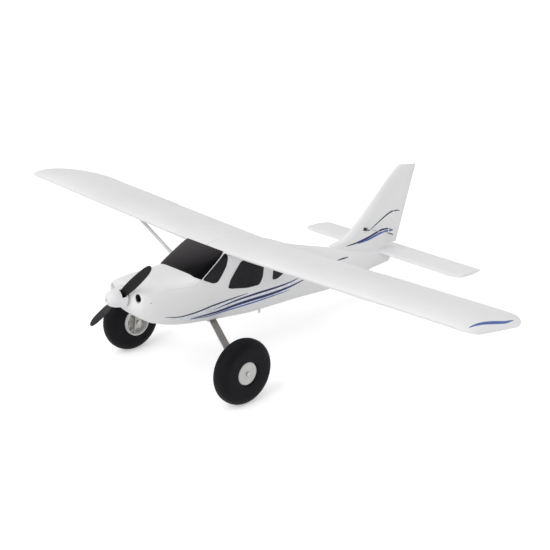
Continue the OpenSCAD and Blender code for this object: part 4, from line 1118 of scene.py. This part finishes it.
STRIPE_STEPS = 56
STRIPE_ACROSS = 4
STRIPE_SINK = 0.5
STRIPE_MARGIN = 0.1
STRIPE_END = 0.12
STRIPE_SWELL = 0.6
INK_LIFT = 0.14
PALE_LIFT = 0.07
BODY_LINES = (
    ("upper", 3.2, DARK_INK,
     ((-220, -63.5), (-189, -66.5), (-161, -63.8), (-113, -54.6), (-61, -46.9), (-30, -43))),
    ("middle", 4.2, NAVY_INK,
     ((-112, -64.5), (-86, -58.2), (-60, -53.4), (-6, -46.6), (53, -42.2), (112, -35))),
    ("main", 6, NAVY_INK,
     ((-160, -75.2), (-103, -70), (-58, -62.6), (-19, -58), (39, -53.4), (85, -48), (131, -41))),
    ("lower", 3.2, BLUE_INK,
     ((-163, -76.2), (-126, -76.6), (-77, -71), (-43, -67.5), (11, -61.8), (87, -55))),
    ("tail", 2.6, DARK_INK,
     ((235, -19.8), (254, -18.6), (275, -18.2))),
)
PALE_TOP = ((-205, -67), (-161, -65), (-113, -56), (-61, -48.5), (-6, -45), (53, -41), (114, -34))
PALE_LOW = (
    (-205, -69), (-161, -76), (-126, -77.5), (-77, -72),
    (-43, -68.5), (11, -63), (87, -54), (114, -42),
)
FIN_LINES = (
    ("arc", 3.8, DARK_INK,
     ((353, 27.6), (370.5, 37.5), (391.6, 49.7), (407.4, 57.4), (420, 61.2), (434, 61.6), (448, 59.3))),
    ("sweep", 4.6, NAVY_INK,
     ((282, -0.3), (305, 2), (331, 6.6), (352, 11.8), (374, 18.7), (392, 23.5), (406, 24), (431, 18.6))),
    ("under", 5, BLUE_INK,
     ((318, 1), (331, 3), (353, 7), (375, 13.1), (393, 17.4), (409, 18.8), (431, 17.7))),
)

# The stripe on the wing tip is (aft, across) points in the frame of the wing panel
TIP_LINE = ((11, 601.8), (30, 603), (60, 604.8), (93, 605.9), (125, 601.9))
TIP_LINE_WIDTH = 4.5


def line(path, width):
    """Lower and upper edge of a line that tapers to both ends."""
    places, heights = zip(*path)

    def edges(y):
        share = (y - places[0]) / (places[-1] - places[0])
        swell = max(0, math.sin(math.pi * share)) ** STRIPE_SWELL
        half = width / 2 * blend(STRIPE_END, 1, swell)
        middle = curve_at(places, heights, y)
        return middle - half, middle + half
    return edges


def between(low, high):
    """Edges of a fill between two lines."""
    def edges(y):
        return curve_at(*zip(*low), y), curve_at(*zip(*high), y)
    return edges


def band(name, start, end, edges, point, lift, matrix):
    """A thin band from start to end; point(aft, across, lift) is a place over the skin below it."""
    rings = []
    for i in range(STRIPE_STEPS + 1):
        y = blend(start, end, i / STRIPE_STEPS)
        low, high = edges(y)
        across = [blend(low, high, k / STRIPE_ACROSS) for k in range(STRIPE_ACROSS + 1)]
        outer = [point(y, a, lift) for a in across]
        inner = [point(y, a, -STRIPE_SINK) for a in reversed(across)]
        rings.append(outer + inner)
    return smooth(loft(name, rings, matrix))


def side_band(name, start, end, edges, skin, lift, side):
    """A band on a skin whose half width is skin(y, z)."""
    def point(y, z, rise):
        return skin(y, z) + rise, y, z
    return band(name, start, end, edges, point, lift, LEVEL @ mirrored(side))


def fin_x(y, z):
    front, back, half, heel, nose = fin_sizes(z)
    if y < front + nose:
        share = max(0, (y - front) / nose)
        return half * math.sqrt(1 - (1 - share) ** 2)
    return blend(half, heel, (y - front - nose) / (back - front - nose))


def rudder_x(y, z):
    return blend(RUDDER_NOSE, TAIL_EDGE, (y - hinge_y(z)) * math.cos(RUDDER_LEAN) / RUDDER_CHORD)


def body_stripes(name, side):
    fill = between(PALE_LOW, PALE_TOP)
    pale = side_band(f"pale_stripe_{name}", PALE_LOW[0][0], PALE_LOW[-1][0], fill, side_x, PALE_LIFT, side)
    present(pale, "airframe", PALE_INK, "foam")
    for label, width, ink, path in BODY_LINES:
        edges = line(path, width)
        stripe = side_band(f"{label}_stripe_{name}", path[0][0], path[-1][0], edges, side_x, INK_LIFT, side)
        present(stripe, "airframe", ink, "foam")


def fin_stripes(name, side):
    """Each line runs on over the hinge, as one band on the fin and one on the rudder."""
    for label, width, ink, path in FIN_LINES:
        edges = line(path, width)
        hinge = hinge_y(curve_at(*zip(*path), hinge_y(path[-1][1])))
        fin_end = hinge - FIN_GAP - STRIPE_MARGIN
        front = side_band(f"fin_{label}_{name}", path[0][0], fin_end, edges, fin_x, INK_LIFT, side)
        present(front, "airframe", ink, "foam")
        rear = side_band(f"rudder_{label}_{name}", hinge, path[-1][0], edges, rudder_x, INK_LIFT, side)
        present(rear, "rudder", ink, "foam")


def tip_stripe():
    """One stripe on top of the left wing tip."""
    def point(y, x, rise):
        return x, y, wing_top(x, y) + rise
    edges = line(TIP_LINE, TIP_LINE_WIDTH)
    stripe = band("tip_stripe", TIP_LINE[0][0], TIP_LINE[-1][0], edges, point, INK_LIFT, panel(1))
    present(stripe, "airframe", BLUE_INK, "foam")


def stripes():
    for name, side in SIDES.items():
        body_stripes(name, side)
        fin_stripes(name, side)
    tip_stripe()


# Wheels

WHEEL_RADIUS = 61.5
TYRE_HALF = 18
TYRE_OUTER_POWER = 2 / 2.3
TYRE_INNER_POWER = 2 / 7
TYRE_POINTS = 64
TYRE_STEPS = 144
TYRE_FIT = 0.1
HUB_FACE_RADIUS = 21
HUB_BACK_RADIUS = 27
HUB_STEP = -9


def tyre(name, side):
    middle = (WHEEL_RADIUS + HUB_FACE_RADIUS) / 2
    reach = WHEEL_RADIUS - middle
    profile = []
    for i in range(TYRE_POINTS):
        angle = 2 * math.pi * i / TYRE_POINTS
        c, s = math.cos(angle), math.sin(angle)
        power = TYRE_OUTER_POWER if c > 0 else TYRE_INNER_POWER
        r = middle + reach * math.copysign(abs(c) ** power, c)
        h = TYRE_HALF * math.copysign(abs(s) ** power, s)
        hub = HUB_BACK_RADIUS if h < HUB_STEP else HUB_FACE_RADIUS
        profile.append((max(r, hub + TYRE_FIT), h))
    ring = smooth(lathe(f"tyre_{name}_rubber", profile, wheel(side), TYRE_STEPS))
    present(ring, f"wheel_{name}", TYRE, "tyre", f"tyre_{name}")


# Carried-over pieces: each takes the material of its slot


def dress_frame():
    slots = {part["node"]: part["material_slot"] for part in frame["record"]["subparts"]}
    slots |= {"belly_peg": "strut", "rudder_arm": "fitting"}
    for name, obj in frame["nodes"].items():
        obj.data.materials.clear()
        obj.data.materials.append(MATERIALS[slots[name]])


# Stage

FLOOR_SIZE = 40
FLOOR_COLOUR = (0.88, 0.88, 0.88)
FLOOR_LIFT = 0.4


def floor_material():
    floor = Surface("pale_floor", FLOOR_COLOUR, 0.9, Specular_IOR_Level=0.0)
    lift = floor.nodes.new("ShaderNodeEmission")
    lift.inputs["Strength"].default_value = FLOOR_LIFT
    none = floor.nodes.new("ShaderNodeEmission")
    none.inputs["Strength"].default_value = 0
    ray = floor.nodes.new("ShaderNodeLightPath")
    choice = floor.nodes.new("ShaderNodeMixShader")
    seen = ray.outputs["Is Camera Ray"]
    for kind in ("Is Glossy Ray", "Is Transmission Ray"):
        either = floor.nodes.new("ShaderNodeMath")
        either.operation = "MAXIMUM"
        floor.links.new(seen, either.inputs[0])
        floor.links.new(ray.outputs[kind], either.inputs[1])
        seen = either.outputs[0]
    floor.links.new(seen, choice.inputs["Fac"])
    floor.links.new(none.outputs[0], choice.inputs[1])
    floor.links.new(lift.outputs[0], choice.inputs[2])
    total = floor.nodes.new("ShaderNodeAddShader")
    floor.links.new(floor.shader.outputs[0], total.inputs[0])
    floor.links.new(choice.outputs[0], total.inputs[1])
    floor.links.new(total.outputs[0], floor.nodes["Material Output"].inputs["Surface"])
    return floor.material


def stage():
    half = FLOOR_SIZE / 2
    corners = [(-half, -half, 0), (half, -half, 0), (half, half, 0), (-half, half, 0)]
    floor = new_object("floor", corners, [(0, 1, 2, 3)], Matrix.Identity(4))
    floor.data.materials.append(floor_material())


LAMP_TARGET = Vector((0, 0, 0.15))
WORLD_LEVEL = 0.71
KEY_PLACE = Vector((0.15, -2.3, 2.8))
KEY_LEVEL = 0.9
KEY_SPREAD = math.radians(40)
FILL_PLACE = Vector((3.0, -1.8, 1.6))
FILL_POWER = 8
FILL_SIZE = 2.4


def lamp(name, place, light, strength):
    """A lamp that looks at the middle of the model."""
    light.energy = strength
    obj = bpy.data.objects.new(name, light)
    obj.location = place
    obj.rotation_euler = (LAMP_TARGET - place).to_track_quat("-Z", "Y").to_euler()
    bpy.context.scene.collection.objects.link(obj)


def lights():
    world = bpy.data.worlds.new("studio")
    bpy.context.scene.world = world
    world.use_nodes = True
    world.node_tree.nodes["Background"].inputs["Color"].default_value = (1, 1, 1, 1)
    world.node_tree.nodes["Background"].inputs["Strength"].default_value = WORLD_LEVEL
    key = bpy.data.lights.new("key", "SUN")
    key.angle = KEY_SPREAD
    lamp("key", KEY_PLACE, key, KEY_LEVEL)
    fill = bpy.data.lights.new("fill", "AREA")
    fill.shape = "DISK"
    fill.size = FILL_SIZE
    lamp("fill", FILL_PLACE, fill, FILL_POWER)


# Camera, set to the photograph's view

CAMERA_TARGET = Vector((0.0499, -0.0559, 0.1553))
CAMERA_DISTANCE = 2.2581
CAMERA_AZIMUTH = math.radians(47.969)
CAMERA_ELEVATION = math.radians(22.350)
CAMERA_ROLL = math.radians(-2.332)
CAMERA_SIGHT = 100
SENSOR_WIDTH = 36
FOCAL_PIXELS = 1179.81
IMAGE_PIXELS = 550


def camera():
    data = bpy.data.cameras.new("photo_view")
    data.sensor_fit = "HORIZONTAL"
    data.sensor_width = SENSOR_WIDTH
    data.lens = FOCAL_PIXELS / IMAGE_PIXELS * SENSOR_WIDTH
    data.clip_end = CAMERA_SIGHT
    obj = bpy.data.objects.new("photo_view", data)
    aim = turn(CAMERA_AZIMUTH, "Z") @ turn(math.pi / 2 - CAMERA_ELEVATION, "X") @ turn(CAMERA_ROLL, "Z")
    obj.matrix_world = shift(CAMERA_TARGET) @ aim @ shift((0, 0, CAMERA_DISTANCE))
    bpy.context.scene.collection.objects.link(obj)
    bpy.context.scene.camera = obj


camera()
stage()
lights()
dress_frame()
fuselage()
hatch()
windows()
cowl()
propeller()
spinner()
wing()
stabilizer()
elevator()
fin()
rudder()
stripes()
for side_name, side in SIDES.items():
    tyre(side_name, side)

bpy.context.scene.view_settings.view_transform = "Standard"
